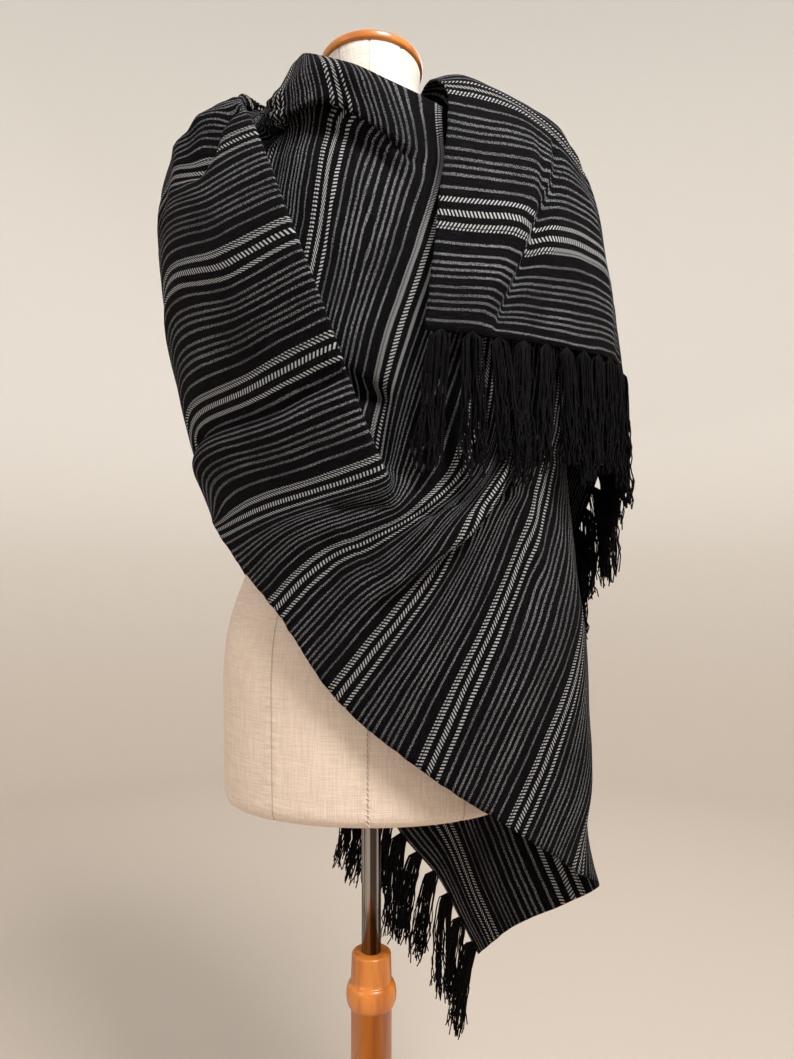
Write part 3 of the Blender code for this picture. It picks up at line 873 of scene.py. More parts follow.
SECTIONS = (
    Section(0.0, (130, 85, 455), (107, 103, 494), (84, 120, 532), (33, 135, 588), (12, 138, 626),
            (-8, 140, 665), (-19, 140, 712), (-30, 140, 760), (-40, 138, 850), (-45, 132, 940),
            (-45, 125, 1020), (-45, 118, 1090)),
    Section(0.5, (169, 45, 509), (145, 80, 562), (115, 118, 635), (90, 134, 705), (79, 138, 742),
            (68, 142, 780), (60, 144, 820), (52, 145, 860), (42, 142, 940), (36, 137, 1020),
            (32, 130, 1100), (30, 122, 1180)),
    Section(1.0, (258, 10, 569), (232, 58, 650), (203, 90, 725), (176, 112, 800), (164, 120, 840),
            (153, 127, 880), (144, 130, 920), (136, 134, 960), (122, 136, 1040), (112, 133, 1120),
            (104, 128, 1195), (100, 118, 1270)),
    Section(1.4, (226, -35, 604), (248, 8, 680), (240, 40, 765), (226, 64, 850), (218, 74, 890),
            (210, 84, 930), (203, 91, 970), (196, 98, 1010), (184, 106, 1090), (176, 106, 1170),
            (168, 100, 1250), (158, 88, 1325)),
    Section(2.4, (148, -100, 672), (183, -88, 746), (217, -55, 811), (236, -12, 875), (234, 5, 912),
            (233, 22, 950), (228, 35, 990), (224, 48, 1030), (214, 64, 1110), (206, 70, 1190),
            (197, 68, 1265), (183, 58, 1335)),
    Section(3.4, (58, -135, 739), (106, -142, 850), (146, -122, 937), (173, -96, 1006), (180, -88, 1028),
            (188, -78, 1052), (194, -70, 1078), (200, -60, 1110), (206, -44, 1185), (207, -22, 1260),
            (200, 8, 1335), (182, 40, 1392)),
    Section(4.4, (-29, -130, 810), (32, -150, 889), (64, -158, 932), (95, -162, 980), (110, -153, 1002),
            (124, -145, 1024), (135, -138, 1046), (147, -128, 1085), (159, -112, 1160), (166, -84, 1250),
            (168, -45, 1345), (146, 8, 1408)),
    Section(5.4, (-91, -115, 896), (-40, -142, 945), (2, -156, 966), (36, -164, 982), (55, -161, 995),
            (76, -154, 1013), (92, -146, 1035), (106, -138, 1075), (119, -130, 1150), (127, -110, 1240),
            (128, -68, 1340), (118, 18, 1420)),
    Section(5.9, (-126, -80, 930), (-75, -130, 970), (-24, -155, 989), (23, -168, 1003), (30, -162, 1014),
            (34, -156, 1030), (38, -154, 1042), (55, -150, 1096), (88, -138, 1190), (104, -112, 1290),
            (110, -60, 1385), (106, 15, 1424)),
    Section(6.4, (-166, -35, 976), (-107, -100, 995), (-39, -150, 1013), (15, -172, 1030), (15, -160, 1034),
            (4, -151, 1034), (6, -142, 1038), (17, -142, 1110), (56, -125, 1242), (80, -82, 1336),
            (87, -42, 1426), (93, -14, 1426)),
    Section(6.9, (-182, 10, 990), (-184, -25, 1037), (-73, -142, 1063), (-6, -178, 1082), (-8, -166, 1083),
            (-40, -147, 1076), (-38, -136, 1079), (-27, -136, 1141), (20, -100, 1327), (29, -112, 1361),
            (4, -92, 1439), (8, -78, 1417)),
    Section(7.4, (-188, 45, 1000), (-205, 0, 1091), (-104, -128, 1116), (-25, -180, 1140), (-29, -167, 1139),
            (-78, -118, 1130), (-76, -107, 1132), (-57, -126, 1210), (-30, -80, 1390), (-26, -102, 1404),
            (-47, -78, 1464), (-43, -55, 1430)),
    Section(8.4, (-188, 85, 990), (-236, 10, 1241), (-134, -125, 1234), (-65, -172, 1246), (-69, -159, 1244),
            (-135, -98, 1232), (-134, -86, 1234), (-112, -88, 1303), (-96, -71, 1387), (-87, -88, 1406),
            (-76, -55, 1473), (-64, -30, 1436)),
    Section(9.4, (-180, 120, 950), (-254, 45, 1353), (-176, -60, 1365), (-111, -105, 1370), (-114, -94, 1371),
            (-150, -67, 1367), (-149, -56, 1371), (-133, -46, 1404), (-115, -46, 1423), (-106, -42, 1441),
            (-82, -10, 1472), (-64, -4, 1438)),
    Section(10.4, (-150, 150, 890), (-236, 88, 1330), (-190, 10, 1432), (-146, -16, 1448), (-141, -10, 1450),
            (-136, -4, 1450), (-132, 0, 1449), (-128, 4, 1448), (-119, 11, 1447), (-107, 16, 1458),
            (-84, 27, 1476), (-64, 32, 1444)),
    Section(11.4, (-100, 172, 830), (-140, 160, 1130), (-140, 130, 1300), (-112, 104, 1390), (-103, 99, 1401),
            (-94, 94, 1412), (-87, 91, 1418), (-80, 88, 1424), (-68, 85, 1434), (-58, 84, 1448),
            (-46, 82, 1470), (-36, 74, 1462)),
    Section(12.4, (-20, 182, 820), (-10, 172, 1080), (4, 158, 1250), (14, 134, 1350), (17, 127, 1368),
            (20, 120, 1385), (22, 115, 1396), (25, 110, 1408), (29, 103, 1428), (33, 96, 1448),
            (38, 88, 1470), (40, 76, 1478)),
    Section(13.0, (40, 184, 850), (110, 170, 1080), (180, 140, 1260), (225, 95, 1360), (226, 68, 1389),
            (226, 40, 1418), (213, 25, 1430), (200, 10, 1442), (165, 0, 1456), (130, -4, 1472),
            (95, -4, 1488), (66, -2, 1484)),
    Section(13.4, (75, 182, 860), (150, 165, 1050), (215, 130, 1220), (250, 80, 1330), (248, 50, 1358),
            (246, 20, 1386), (230, 0, 1394), (214, -20, 1402), (185, -30, 1423), (146, -42, 1440),
            (108, -52, 1446), (80, -57, 1446)),
    Section(14.4, (135, 174, 870), (205, 150, 990), (250, 105, 1110), (274, 52, 1200), (273, 28, 1225),
            (272, 5, 1250), (262, -18, 1261), (252, -40, 1272), (215, -78, 1278), (172, -112, 1274),
            (119, -135, 1274), (68, -132, 1281)),
    Section(15.3, (195, 152, 880), (238, 120, 940), (264, 85, 1010), (284, 45, 1100), (284, 22, 1128),
            (284, 0, 1155), (273, -20, 1158), (262, -40, 1160), (218, -92, 1156), (146, -146, 1153),
            (97, -170, 1154), (54, -168, 1158)),
)


def spline(knots: np.ndarray, values: np.ndarray, at: Sequence[float]) -> np.ndarray:
    """Read a smooth cubic through values at other places.

    Args:
        knots: the rising places of the values.
        values: one row for each knot.
        at: the places to read.

    Returns:
        One row for each place read.
    """
    steps = np.diff(knots)
    slopes = np.diff(values, axis=0) / steps.reshape(-1, *([1] * (values.ndim - 1)))
    tangents = np.empty_like(values)
    tangents[0], tangents[-1] = slopes[0], slopes[-1]
    for i in range(1, len(knots) - 1):
        share = steps[i - 1] / (steps[i - 1] + steps[i])
        tangents[i] = slopes[i - 1] * (1 - share) + slopes[i] * share
    result = []
    for place in at:
        i = int(np.clip(np.searchsorted(knots, place) - 1, 0, len(steps) - 1))
        u = (place - knots[i]) / steps[i]
        result.append((2 * u**3 - 3 * u**2 + 1) * values[i] + (u**3 - 2 * u**2 + u) * steps[i] * tangents[i]
                      + (3 * u**2 - 2 * u**3) * values[i + 1] + (u**3 - u**2) * steps[i] * tangents[i + 1])
    return np.array(result)


def section_curve(points: np.ndarray, places: np.ndarray) -> np.ndarray:
    """Read the smooth curve through a section's points.

    Args:
        points: the section's points.
        places: where to read it, counted in its points.

    Returns:
        One point for each place.
    """
    lengths = np.sqrt(np.linalg.norm(np.diff(points, axis=0), axis=1))
    knots = np.concatenate(([0.0], np.cumsum(lengths)))
    return spline(knots, points, np.interp(places, np.arange(len(points)), knots))


def normals_of(grid: np.ndarray) -> np.ndarray:
    """Find the normals of a grid of points.

    Args:
        grid: the points, a row for each station.

    Returns:
        One unit normal for each point, away from the dress form.
    """
    cells = np.cross(grid[:-1, 1:] - grid[1:, :-1], grid[1:, 1:] - grid[:-1, :-1])
    cells /= np.linalg.norm(cells, axis=2, keepdims=True)
    around = np.pad(cells, ((1, 1), (1, 1), (0, 0)), mode="edge")
    normal = around[:-1, :-1] + around[1:, :-1] + around[:-1, 1:] + around[1:, 1:]
    return normal / np.linalg.norm(normal, axis=2, keepdims=True)


@dataclass(frozen=True)
class Ripple:
    """One layer of smooth noise: its height in metres and its cells to a unit both ways."""

    height: float
    along: float
    across: float
    layer: float

    def at(self, x: float, y: float) -> float:
        """Its height at a place."""
        return self.height * noise.noise(Vector((x * self.along, y * self.across, self.layer)))


RELIEF_RIPPLES = (Ripple(0.0011, 15, 9, 0.0), Ripple(0.0005, 42, 30, 9.0))
WEAVE_RIPPLES = (Ripple(0.0026, 9, 7, 3.0), Ripple(0.0007, 36, 24, 5.0))
SELVEDGE_RIPPLE = Ripple(0.0013, 9.0, 1.0, 7.0)


def flat_copy(obj: bpy.types.Object, name: str) -> bpy.types.Object:
    """Turn an object with modifiers into a new one with a plain mesh, and remove the first.

    Args:
        obj: the object with its modifiers.
        name: the new object's name.

    Returns:
        The new object.
    """
    graph = bpy.context.evaluated_depsgraph_get()
    mesh = bpy.data.meshes.new_from_object(obj.evaluated_get(graph))
    bpy.data.objects.remove(obj)
    return to_object(name, mesh)


@dataclass
class Shawl:
    """The shawl's one woven panel, draped through its sections, with creases and ripples.

    Lengths are metres. cuts gives the steps of the grid between each two points of a section. Up to
    end_turns the back end turns on its way down, so its weave runs longer there near the lower
    selvedge, by the share end_stretch.
    """

    width: float = 0.740
    repeat: float = 0.120
    last_station: float = 15.3
    thickness: float = 0.0017
    row_step: float = 0.0062
    clearance: float = 0.006
    end_turns: float = 1.4
    end_stretch: float = 0.75
    cuts: tuple[int, ...] = (16, 15, 14, 7, 9, 3, 9, 14, 18, 15, 10)
    stations: np.ndarray = field(init=False)
    places: np.ndarray = field(init=False)
    grid: np.ndarray = field(init=False)
    normals: np.ndarray = field(init=False)

    def __post_init__(self) -> None:
        """Work out the draped surface."""
        rows = round(self.last_station * self.repeat / self.row_step)
        self.stations = np.linspace(0.0, self.last_station, rows + 1)
        self.places = np.array([0.0] + [i + (k + 1) / cuts for i, cuts in enumerate(self.cuts)
                                        for k in range(cuts)])
        knots = np.array([section.station for section in SECTIONS])
        controls = spline(knots, np.array([section.points() for section in SECTIONS]), self.stations)
        grid = np.array([section_curve(row, self.places) for row in controls])
        grid = grid + normals_of(grid) * self.relief()[:, :, None]
        self.grid = self.keep_off(self.waved_edges(grid))
        self.normals = normals_of(self.grid)

    def flat_grid(self) -> tuple[np.ndarray, np.ndarray, float, float]:
        """Lay the panel out flat.

        Returns:
            Metres along and across at every point of the grid, and metres to a station and to a
            place across.
        """
        pitch = self.width / len(self.cuts)
        x, y = np.meshgrid(self.stations * self.repeat, self.places * pitch, indexing="ij")
        return x, y, self.repeat, pitch

    def relief(self) -> np.ndarray:
        """Add up every crease, fold and ripple over the panel.

        Returns:
            One height in metres for each point of the grid.
        """
        flat = self.flat_grid()
        x, y = flat[:2]
        heights = np.zeros_like(x)
        for form in (*CREASES, *FINE_CREASES, *FOLDS):
            heights += form.heights(*flat)
        for index in np.ndindex(heights.shape):
            heights[index] += sum(ripple.at(x[index], y[index]) for ripple in RELIEF_RIPPLES)
        return heights

    def waved_edges(self, grid: np.ndarray) -> np.ndarray:
        """Wave both selvedges a little in the plane of the cloth, as a hand-woven edge is.

        Args:
            grid: the draped points, which it changes.

        Returns:
            The same grid.
        """
        for edge, inner in ((0, 1), (-1, -2)):
            outward = grid[:, edge] - grid[:, inner]
            outward /= np.linalg.norm(outward, axis=1, keepdims=True)
            for row, station in enumerate(self.stations):
                grid[row, edge] += outward[row] * SELVEDGE_RIPPLE.at(station, float(edge))
        return grid

    def keep_off(self, grid: np.ndarray) -> np.ndarray:
        """Move points that come too near the dress form out to its surface plus the clearance.

        Args:
            grid: the draped points, which it changes.

        Returns:
            The same grid.
        """
        mesh = bmesh.new()
        mesh.from_mesh(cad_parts["torso"].data)
        tree = BVHTree.FromBMesh(mesh)
        mesh.free()
        for index in np.ndindex(grid.shape[:-1]):
            place = Vector(grid[index])
            nearest, normal, _, distance = tree.find_nearest(place)
            if (place - nearest).dot(normal) < 0 or distance < self.clearance:
                grid[index] = nearest + normal * self.clearance
        return grid

    def cloth_map(self) -> np.ndarray:
        """Work out where each point lies on the woven cloth, a little uneven as cloth is.

        Returns:
            Metres across and along the cloth for each point of the grid.
        """
        lengths = np.linalg.norm(np.diff(self.grid, axis=1), axis=2)
        across = np.concatenate((np.zeros((len(self.grid), 1)), np.cumsum(lengths, axis=1)), axis=1)
        across *= self.width / across[:, -1:]
        along = np.repeat(self.stations[:, None] * self.repeat, across.shape[1], axis=1)
        turn = self.end_turns * self.repeat
        near_hem = np.clip((8.5 - self.places) / 5, 0, 1)[None, :]
        along = np.where(along < turn, turn - (turn - along) * (1 + self.end_stretch * near_hem), along)
        flat = self.flat_grid()
        for fold in FOLDS:
            along += fold.hidden(*flat)
        for index in np.ndindex(along.shape):
            u, v = across[index], along[index]
            along[index] += sum(ripple.at(u, v) for ripple in WEAVE_RIPPLES)
        return np.stack((across, along), axis=2)

    def middle(self) -> bpy.types.Object:
        """Make the draped surface, halfway through the cloth, with its UV map in metres of cloth.

        Returns:
            The open surface as an object.
        """
        rows, columns = self.grid.shape[:2]
        bm = bmesh.new()
        bmesh.ops.create_grid(bm, x_segments=rows - 1, y_segments=columns - 1, size=0.5)
        mesh = bpy.data.meshes.new("shawl_middle")
        bm.to_mesh(mesh)
        bm.free()
        flat = np.empty(len(mesh.vertices) * 3, np.float32)
        mesh.vertices.foreach_get("co", flat)
        flat = flat.reshape(-1, 3)
        row = np.rint((flat[:, 0] + 0.5) * (rows - 1)).astype(int)
        column = np.rint((flat[:, 1] + 0.5) * (columns - 1)).astype(int)
        mesh.vertices.foreach_set("co", self.grid[row, column].astype(np.float32).ravel())
        face_points = np.empty(len(mesh.loops), np.int32)
        mesh.loops.foreach_get("vertex_index", face_points)
        layer = mesh.uv_layers.new(name="cloth")
        woven = self.cloth_map()[row, column][face_points]
        layer.uv.foreach_set("vector", woven.astype(np.float32).ravel())
        mesh.shade_smooth()
        return to_object("shawl_middle", mesh)

    def build(self, material: bpy.types.Material) -> bpy.types.Object:
        """Make the cloth as a thin shell over the draped surface.

        Args:
            material: the cloth's finish.

        Returns:
            The dressed cloth.
        """
        middle = self.middle()
        shell = middle.modifiers.new("Thickness", "SOLIDIFY")
        shell.thickness = self.thickness
        shell.offset = 0.0
        shell.use_rim = True
        cloth = flat_copy(middle, "shawl_cloth")
        return dress(cloth, material, Slot.CLOTH, "scarf_back_end", "scarf_front", "scarf_cowl",
                     "scarf_back", "scarf_front_end")

    def end_directions(self, row: int) -> np.ndarray:
        """Find the way out of the cloth along one of its short ends.

        Args:
            row: 0 for the first row and -1 for the last.

        Returns:
            One unit direction for each point of the row.
        """
        forward = np.cross(self.normals[row], np.gradient(self.grid[row], axis=0))
        forward /= np.linalg.norm(forward, axis=1, keepdims=True)
        return forward if row == -1 else -forward


class Nodes(Wiring):
    """A Geometry Nodes tree with short calls for its sockets."""

    def __init__(self, name: str, inputs: dict[str, str]) -> None:
        """Start a tree.

        Args:
            name: the tree's name.
            inputs: its inputs' names and socket types, after the geometry.
        """
        super().__init__(bpy.data.node_groups.new(name, "GeometryNodeTree"))
        face = self.tree.interface
        face.new_socket("Geometry", in_out="INPUT", socket_type="NodeSocketGeometry")
        for label, kind in inputs.items():
            face.new_socket(label, in_out="INPUT", socket_type=f"NodeSocket{kind}")
        face.new_socket("Geometry", in_out="OUTPUT", socket_type="NodeSocketGeometry")
        self.given = self.tree.nodes.new("NodeGroupInput").outputs
        self.result = self.tree.nodes.new("NodeGroupOutput").inputs[0]

    def add(self, kind: str, inputs: dict[str, object] | None = None, **settings: object) -> bpy.types.Node:
        """Add a node.

        Args:
            kind: the node type's name.
            inputs: values or sockets for its inputs, by name.
            settings: its own properties.

        Returns:
            The new node.
        """
        node = self.tree.nodes.new(kind)
        for name, value in settings.items():
            setattr(node, name, value)
        for name, value in (inputs or {}).items():
            self.put(next(s for s in node.inputs if s.name == name and s.enabled), value)
        return node

    def vector(self, operation: str, first: object, second: object) -> bpy.types.NodeSocket:
        """Add a Vector Math node.

        Args:
            operation: the node's operation.
            first: a vector or a socket.
            second: a vector or a socket, or a number for a scale.

        Returns:
            The result socket.
        """
        node = self.tree.nodes.new("ShaderNodeVectorMath")
        node.operation = operation
        self.put(node.inputs[0], first)
        self.put(node.inputs["Scale" if operation == "SCALE" else 1], second)
        return node.outputs[0]

    def random(self, kind: str, low: object, high: object, seed: object,
               number: object) -> bpy.types.NodeSocket:
        """Add a Random Value node.

        Args:
            kind: FLOAT or FLOAT_VECTOR.
            low: the least value.
            high: the greatest value.
            seed: the seed.
            number: which of the things it is.

        Returns:
            The random value.
        """
        node = self.add("FunctionNodeRandomValue", {"Min": low, "Max": high, "ID": number, "Seed": seed},
                        data_type=kind)
        return next(s for s in node.outputs if s.enabled)

    def per_curve(self, kind: str, value: object) -> bpy.types.NodeSocket:
        """Hold one value for each whole curve.

        Args:
            kind: the value's data type.
            value: the value's socket.

        Returns:
            The held value.
        """
        node = self.add("GeometryNodeFieldOnDomain", data_type=kind, domain="CURVE")
        self.put(node.inputs[0], value)
        return node.outputs[0]

    def named_vector(self, name: str) -> bpy.types.NodeSocket:
        """Read a vector that the input geometry holds on its points."""
        node = self.add("GeometryNodeInputNamedAttribute", {"Name": name}, data_type="FLOAT_VECTOR")
        return node.outputs[0]

    def tube(self, curve: object, radius: object, sides: int) -> bpy.types.NodeSocket:
        """Run a closed tube along curves.

        Args:
            curve: the curves that it follows.
            radius: its radius.
            sides: how many sides it has.

        Returns:
            The tubes as a mesh.
        """
        ring = self.add("GeometryNodeCurvePrimitiveCircle", {"Resolution": sides, "Radius": radius})
        return self.add("GeometryNodeCurveToMesh", {"Curve": curve, "Profile Curve": ring.outputs[0],
                                                    "Fill Caps": True}).outputs[0]

    def finish(self, geometry: object, material: object) -> None:
        """End the tree with real, smooth geometry in its material.

        Args:
            geometry: the geometry's socket.
            material: the material's socket.
        """
        real = self.add("GeometryNodeRealizeInstances", {"Geometry": geometry}).outputs[0]
        smooth = self.add("GeometryNodeSetShadeSmooth", {"Geometry": real}).outputs[0]
        done = self.add("GeometryNodeSetMaterial", {"Geometry": smooth, "Material": material}).outputs[0]
        self.put(self.result, done)

    def apply(self, obj: bpy.types.Object, name: str, values: dict[str, object]) -> bpy.types.Object:
        """Run the tree on an object and return the result as a plain mesh object.

        Args:
            obj: the object that holds the tree's input geometry; it is removed.
            name: the new object's name.
            values: the inputs' values, by name.

        Returns:
            The new object.
        """
        modifier = obj.modifiers.new(self.tree.name, "NODES")
        modifier.node_group = self.tree
        for item in self.tree.interface.items_tree:
            if item.in_out == "INPUT" and item.name in values:
                modifier[item.identifier] = values[item.name]
        return flat_copy(obj, name)


class TasselNodes(Nodes):
    """Spreads each guide line into a tassel of wavy yarns with a rounded head."""

    shortest: float = 0.80
    yarn_points: int = 15
    flare: float = 0.35
    flatness: float = 0.42
    wave_cells: float = 46.0
    apart_cells: float = 37.0

    def __init__(self) -> None:
        """Build the tree."""
        super().__init__("tassels", {"Yarns": "Int", "Spread": "Float", "Wave": "Float", "Head": "Float",
                                     "Yarn radius": "Float", "Seed": "Int", "Finish": "Material"})
        given = self.given
        guides = self.add("GeometryNodeMeshToCurve", {"Mesh": given["Geometry"]}).outputs[0]
        copies = self.add("GeometryNodeDuplicateElements", {"Geometry": guides, "Amount": given["Yarns"]},
                          domain="SPLINE")
        index = self.add("GeometryNodeInputIndex").outputs[0]
        length = self.random("FLOAT", self.shortest, 1.0, given["Seed"], index)
        trimmed = self.add("GeometryNodeTrimCurve", {"Curve": copies.outputs[0], "Start": 0.0,
                                                     "End": length}, mode="FACTOR").outputs[0]
        curves = self.add("GeometryNodeResampleCurve", {"Curve": trimmed, "Count": self.yarn_points},
                          mode="COUNT").outputs[0]
        number = self.per_curve("INT", index)
        spot = self.add("GeometryNodeSplineParameter")
        apart = self.random("FLOAT_VECTOR", (-1.0, -1.0, -1.0), (1.0, 1.0, 1.0), given["Seed"], number)
        parts = self.add("ShaderNodeSeparateXYZ", {"Vector": apart})
        opened = self.math("POWER", self.math("MINIMUM", self.math("DIVIDE", spot.outputs["Length"],
                                                                   given["Head"]), 1.0), 0.5)
        wider = self.math("MULTIPLY_ADD", spot.outputs["Factor"], self.flare, opened)
        reach = self.math("MULTIPLY", given["Spread"], wider)
        flat_reach = self.math("MULTIPLY", reach, self.flatness)
        side, front = [
            self.vector("SCALE", self.named_vector(name), self.math("MULTIPLY", size, part))
            for name, size, part in zip(("side", "front"), (reach, flat_reach), parts.outputs)]
        offset = self.vector("ADD", side, front)
        place = self.add("GeometryNodeInputPosition").outputs[0]
        cells = self.vector("ADD", self.vector("SCALE", place, self.wave_cells),
                            self.vector("SCALE", apart, self.apart_cells))
        ripple = self.add("ShaderNodeTexNoise", {"Vector": cells, "Scale": 1.0, "Detail": 1.0})
        swing = self.vector("SCALE", self.vector("SUBTRACT", ripple.outputs["Color"], (0.5, 0.5, 0.5)),
                            self.math("MULTIPLY", given["Wave"], spot.outputs["Factor"]))
        offset = self.vector("ADD", offset, swing)
        moved = self.add("GeometryNodeSetPosition", {"Geometry": curves, "Offset": offset}).outputs[0]
        self.finish(self.tube(moved, given["Yarn radius"], 5), given["Finish"])


@dataclass
class Fringe:
    """The tassels along one short end of the shawl."""

    name: str
    node: str
    row: int
    lean: tuple[float, float]
    tassels: int = 22
    yarns: int = 40
    length: float = 0.135
    spread: float = 0.0094
    wave: float = 0.019
    head: float = 0.009
    yarn_radius: float = 0.00078
    steps: int = 12
    tucked_in: float = 0.002
    sway: float = 0.10
    seed: int = 3

    def guides(self, shawl: Shawl) -> bpy.types.Object:
        """Lay out one guide line for each tassel, falling from the cloth's end.

        Args:
            shawl: the cloth that it hangs from.

        Returns:
            An object of edges, with each line's side and front directions on its points.
        """
        edge = shawl.grid[self.row]
        lengths = np.concatenate(([0.0], np.cumsum(np.linalg.norm(np.diff(edge, axis=0), axis=1))))
        middles = (np.arange(self.tassels) + 0.5) / self.tassels * lengths[-1]
        read = [np.stack([np.interp(middles, lengths, values[:, axis]) for axis in range(3)], axis=1)
                for values in (edge, shawl.end_directions(self.row), shawl.normals[self.row])]
        points, edges, sides, fronts = [], [], [], []
        for i, (root, outward, normal) in enumerate(zip(*(map(Vector, values) for values in read))):
            share = i / (self.tassels - 1)
            lean = self.lean[0] + (self.lean[1] - self.lean[0]) * share
            fall = (outward * lean + Vector((0, 0, -1))).normalized()
            length = self.length * (0.96 + 0.10 * math.sin(2.3 * i + self.seed))
            side = normal.cross(fall).normalized()
            drift = side * self.sway * math.sin(1.7 * i + 0.6 * self.seed)
            spot = root - outward * self.tucked_in
            for step in range(self.steps + 1):
                if step:
                    edges.append((len(points) - 1, len(points)))
                    heading = outward * 0.9 * (1 - step / self.steps) ** 6 + fall + drift
                    spot = spot + heading.normalized() * length / self.steps
                points.append(spot.copy())
                sides.append(side)
                fronts.append(normal)
        mesh = bpy.data.meshes.new(self.name)
        mesh.from_pydata(points, edges, [])
        for label, values in (("side", sides), ("front", fronts)):
            layer = mesh.attributes.new(label, "FLOAT_VECTOR", "POINT")
            layer.data.foreach_set("vector", np.array(values, np.float32).ravel())
        return to_object(self.name + "_guides", mesh)

    def build(self, shawl: Shawl, tree: TasselNodes, material: bpy.types.Material) -> bpy.types.Object:
        """Make the tassels.

        Args:
            shawl: the cloth that they hang from.
            tree: the tree that spreads the guide lines into yarns.
            material: the yarn's finish.

        Returns:
            The dressed fringe.
        """
        obj = tree.apply(self.guides(shawl), self.name, {
            "Yarns": self.yarns, "Spread": self.spread, "Wave": self.wave, "Head": self.head,
            "Yarn radius": self.yarn_radius, "Seed": self.seed, "Finish": material})
        return dress(obj, material, Slot.YARN, self.node)


class StitchNodes(Nodes):
    """Sets small slanted thread stitches along each guide line."""

    def __init__(self) -> None:
        """Build the tree."""
        super().__init__("stitches", {"Spacing": "Float", "Length": "Float", "Thread radius": "Float",
                                      "Seed": "Int", "Finish": "Material"})
        given = self.given
        guides = self.add("GeometryNodeMeshToCurve", {"Mesh": given["Geometry"]}).outputs[0]
        spots = self.add("GeometryNodeResampleCurve", {"Curve": guides, "Length": given["Spacing"]},
                         mode="LENGTH").outputs[0]
        points = self.add("GeometryNodeCurveToPoints", {"Curve": spots}, mode="EVALUATED").outputs[0]
        half = self.math("MULTIPLY", given["Length"], 0.5)
        back = self.math("MULTIPLY", given["Length"], -0.5)
        start = self.add("ShaderNodeCombineXYZ", {"X": back, "Y": 0.0, "Z": 0.0}).outputs[0]
        bow = self.add("ShaderNodeCombineXYZ", {"X": 0.0, "Y": given["Thread radius"],
                                                "Z": given["Length"]})
        end = self.add("ShaderNodeCombineXYZ", {"X": half, "Y": 0.0, "Z": 0.0}).outputs[0]
        middle = self.vector("MULTIPLY", bow.outputs[0], (0.0, -1.5, 0.2))
        thread = self.add("GeometryNodeCurveQuadraticBezier", {
            "Resolution": 6, "Start": start, "Middle": middle, "End": end}).outputs[0]
        tube = self.tube(thread, given["Thread radius"], 6)
        index = self.add("GeometryNodeInputIndex").outputs[0]
        turn = self.random("FLOAT_VECTOR", (0.0, 0.25, 0.0), (0.0, 1.0, 0.0), given["Seed"], index)
        placed = self.add("GeometryNodeInstanceOnPoints", {"Points": points, "Instance": tube,
                                                           "Rotation": turn}).outputs[0]
        self.finish(placed, given["Finish"])


def loft(bm: bmesh.types.BMesh, rings: Sequence[Sequence[Sequence[float]]]) -> list[list[bmesh.types.BMFace]]:
    """Join closed rings of points from the bottom up, with smooth sides and flat ends.

    Args:
        bm: the mesh that they go in.
        rings: the points of each ring, all in the same order.

    Returns:
        The side faces between each ring and the next, in the rings' order.
    """
    loops = [[bm.verts.new(point) for point in ring] for ring in rings]
    bands = []
    for lower, upper in zip(loops, loops[1:]):
        following = [*range(1, len(lower)), 0]
        band = [bm.faces.new((lower[i], lower[k], upper[k], upper[i])) for i, k in enumerate(following)]
        for face in band:
            face.smooth = True
        bands.append(band)
    bm.faces.new(reversed(loops[0]))
    bm.faces.new(loops[-1])
    return bands


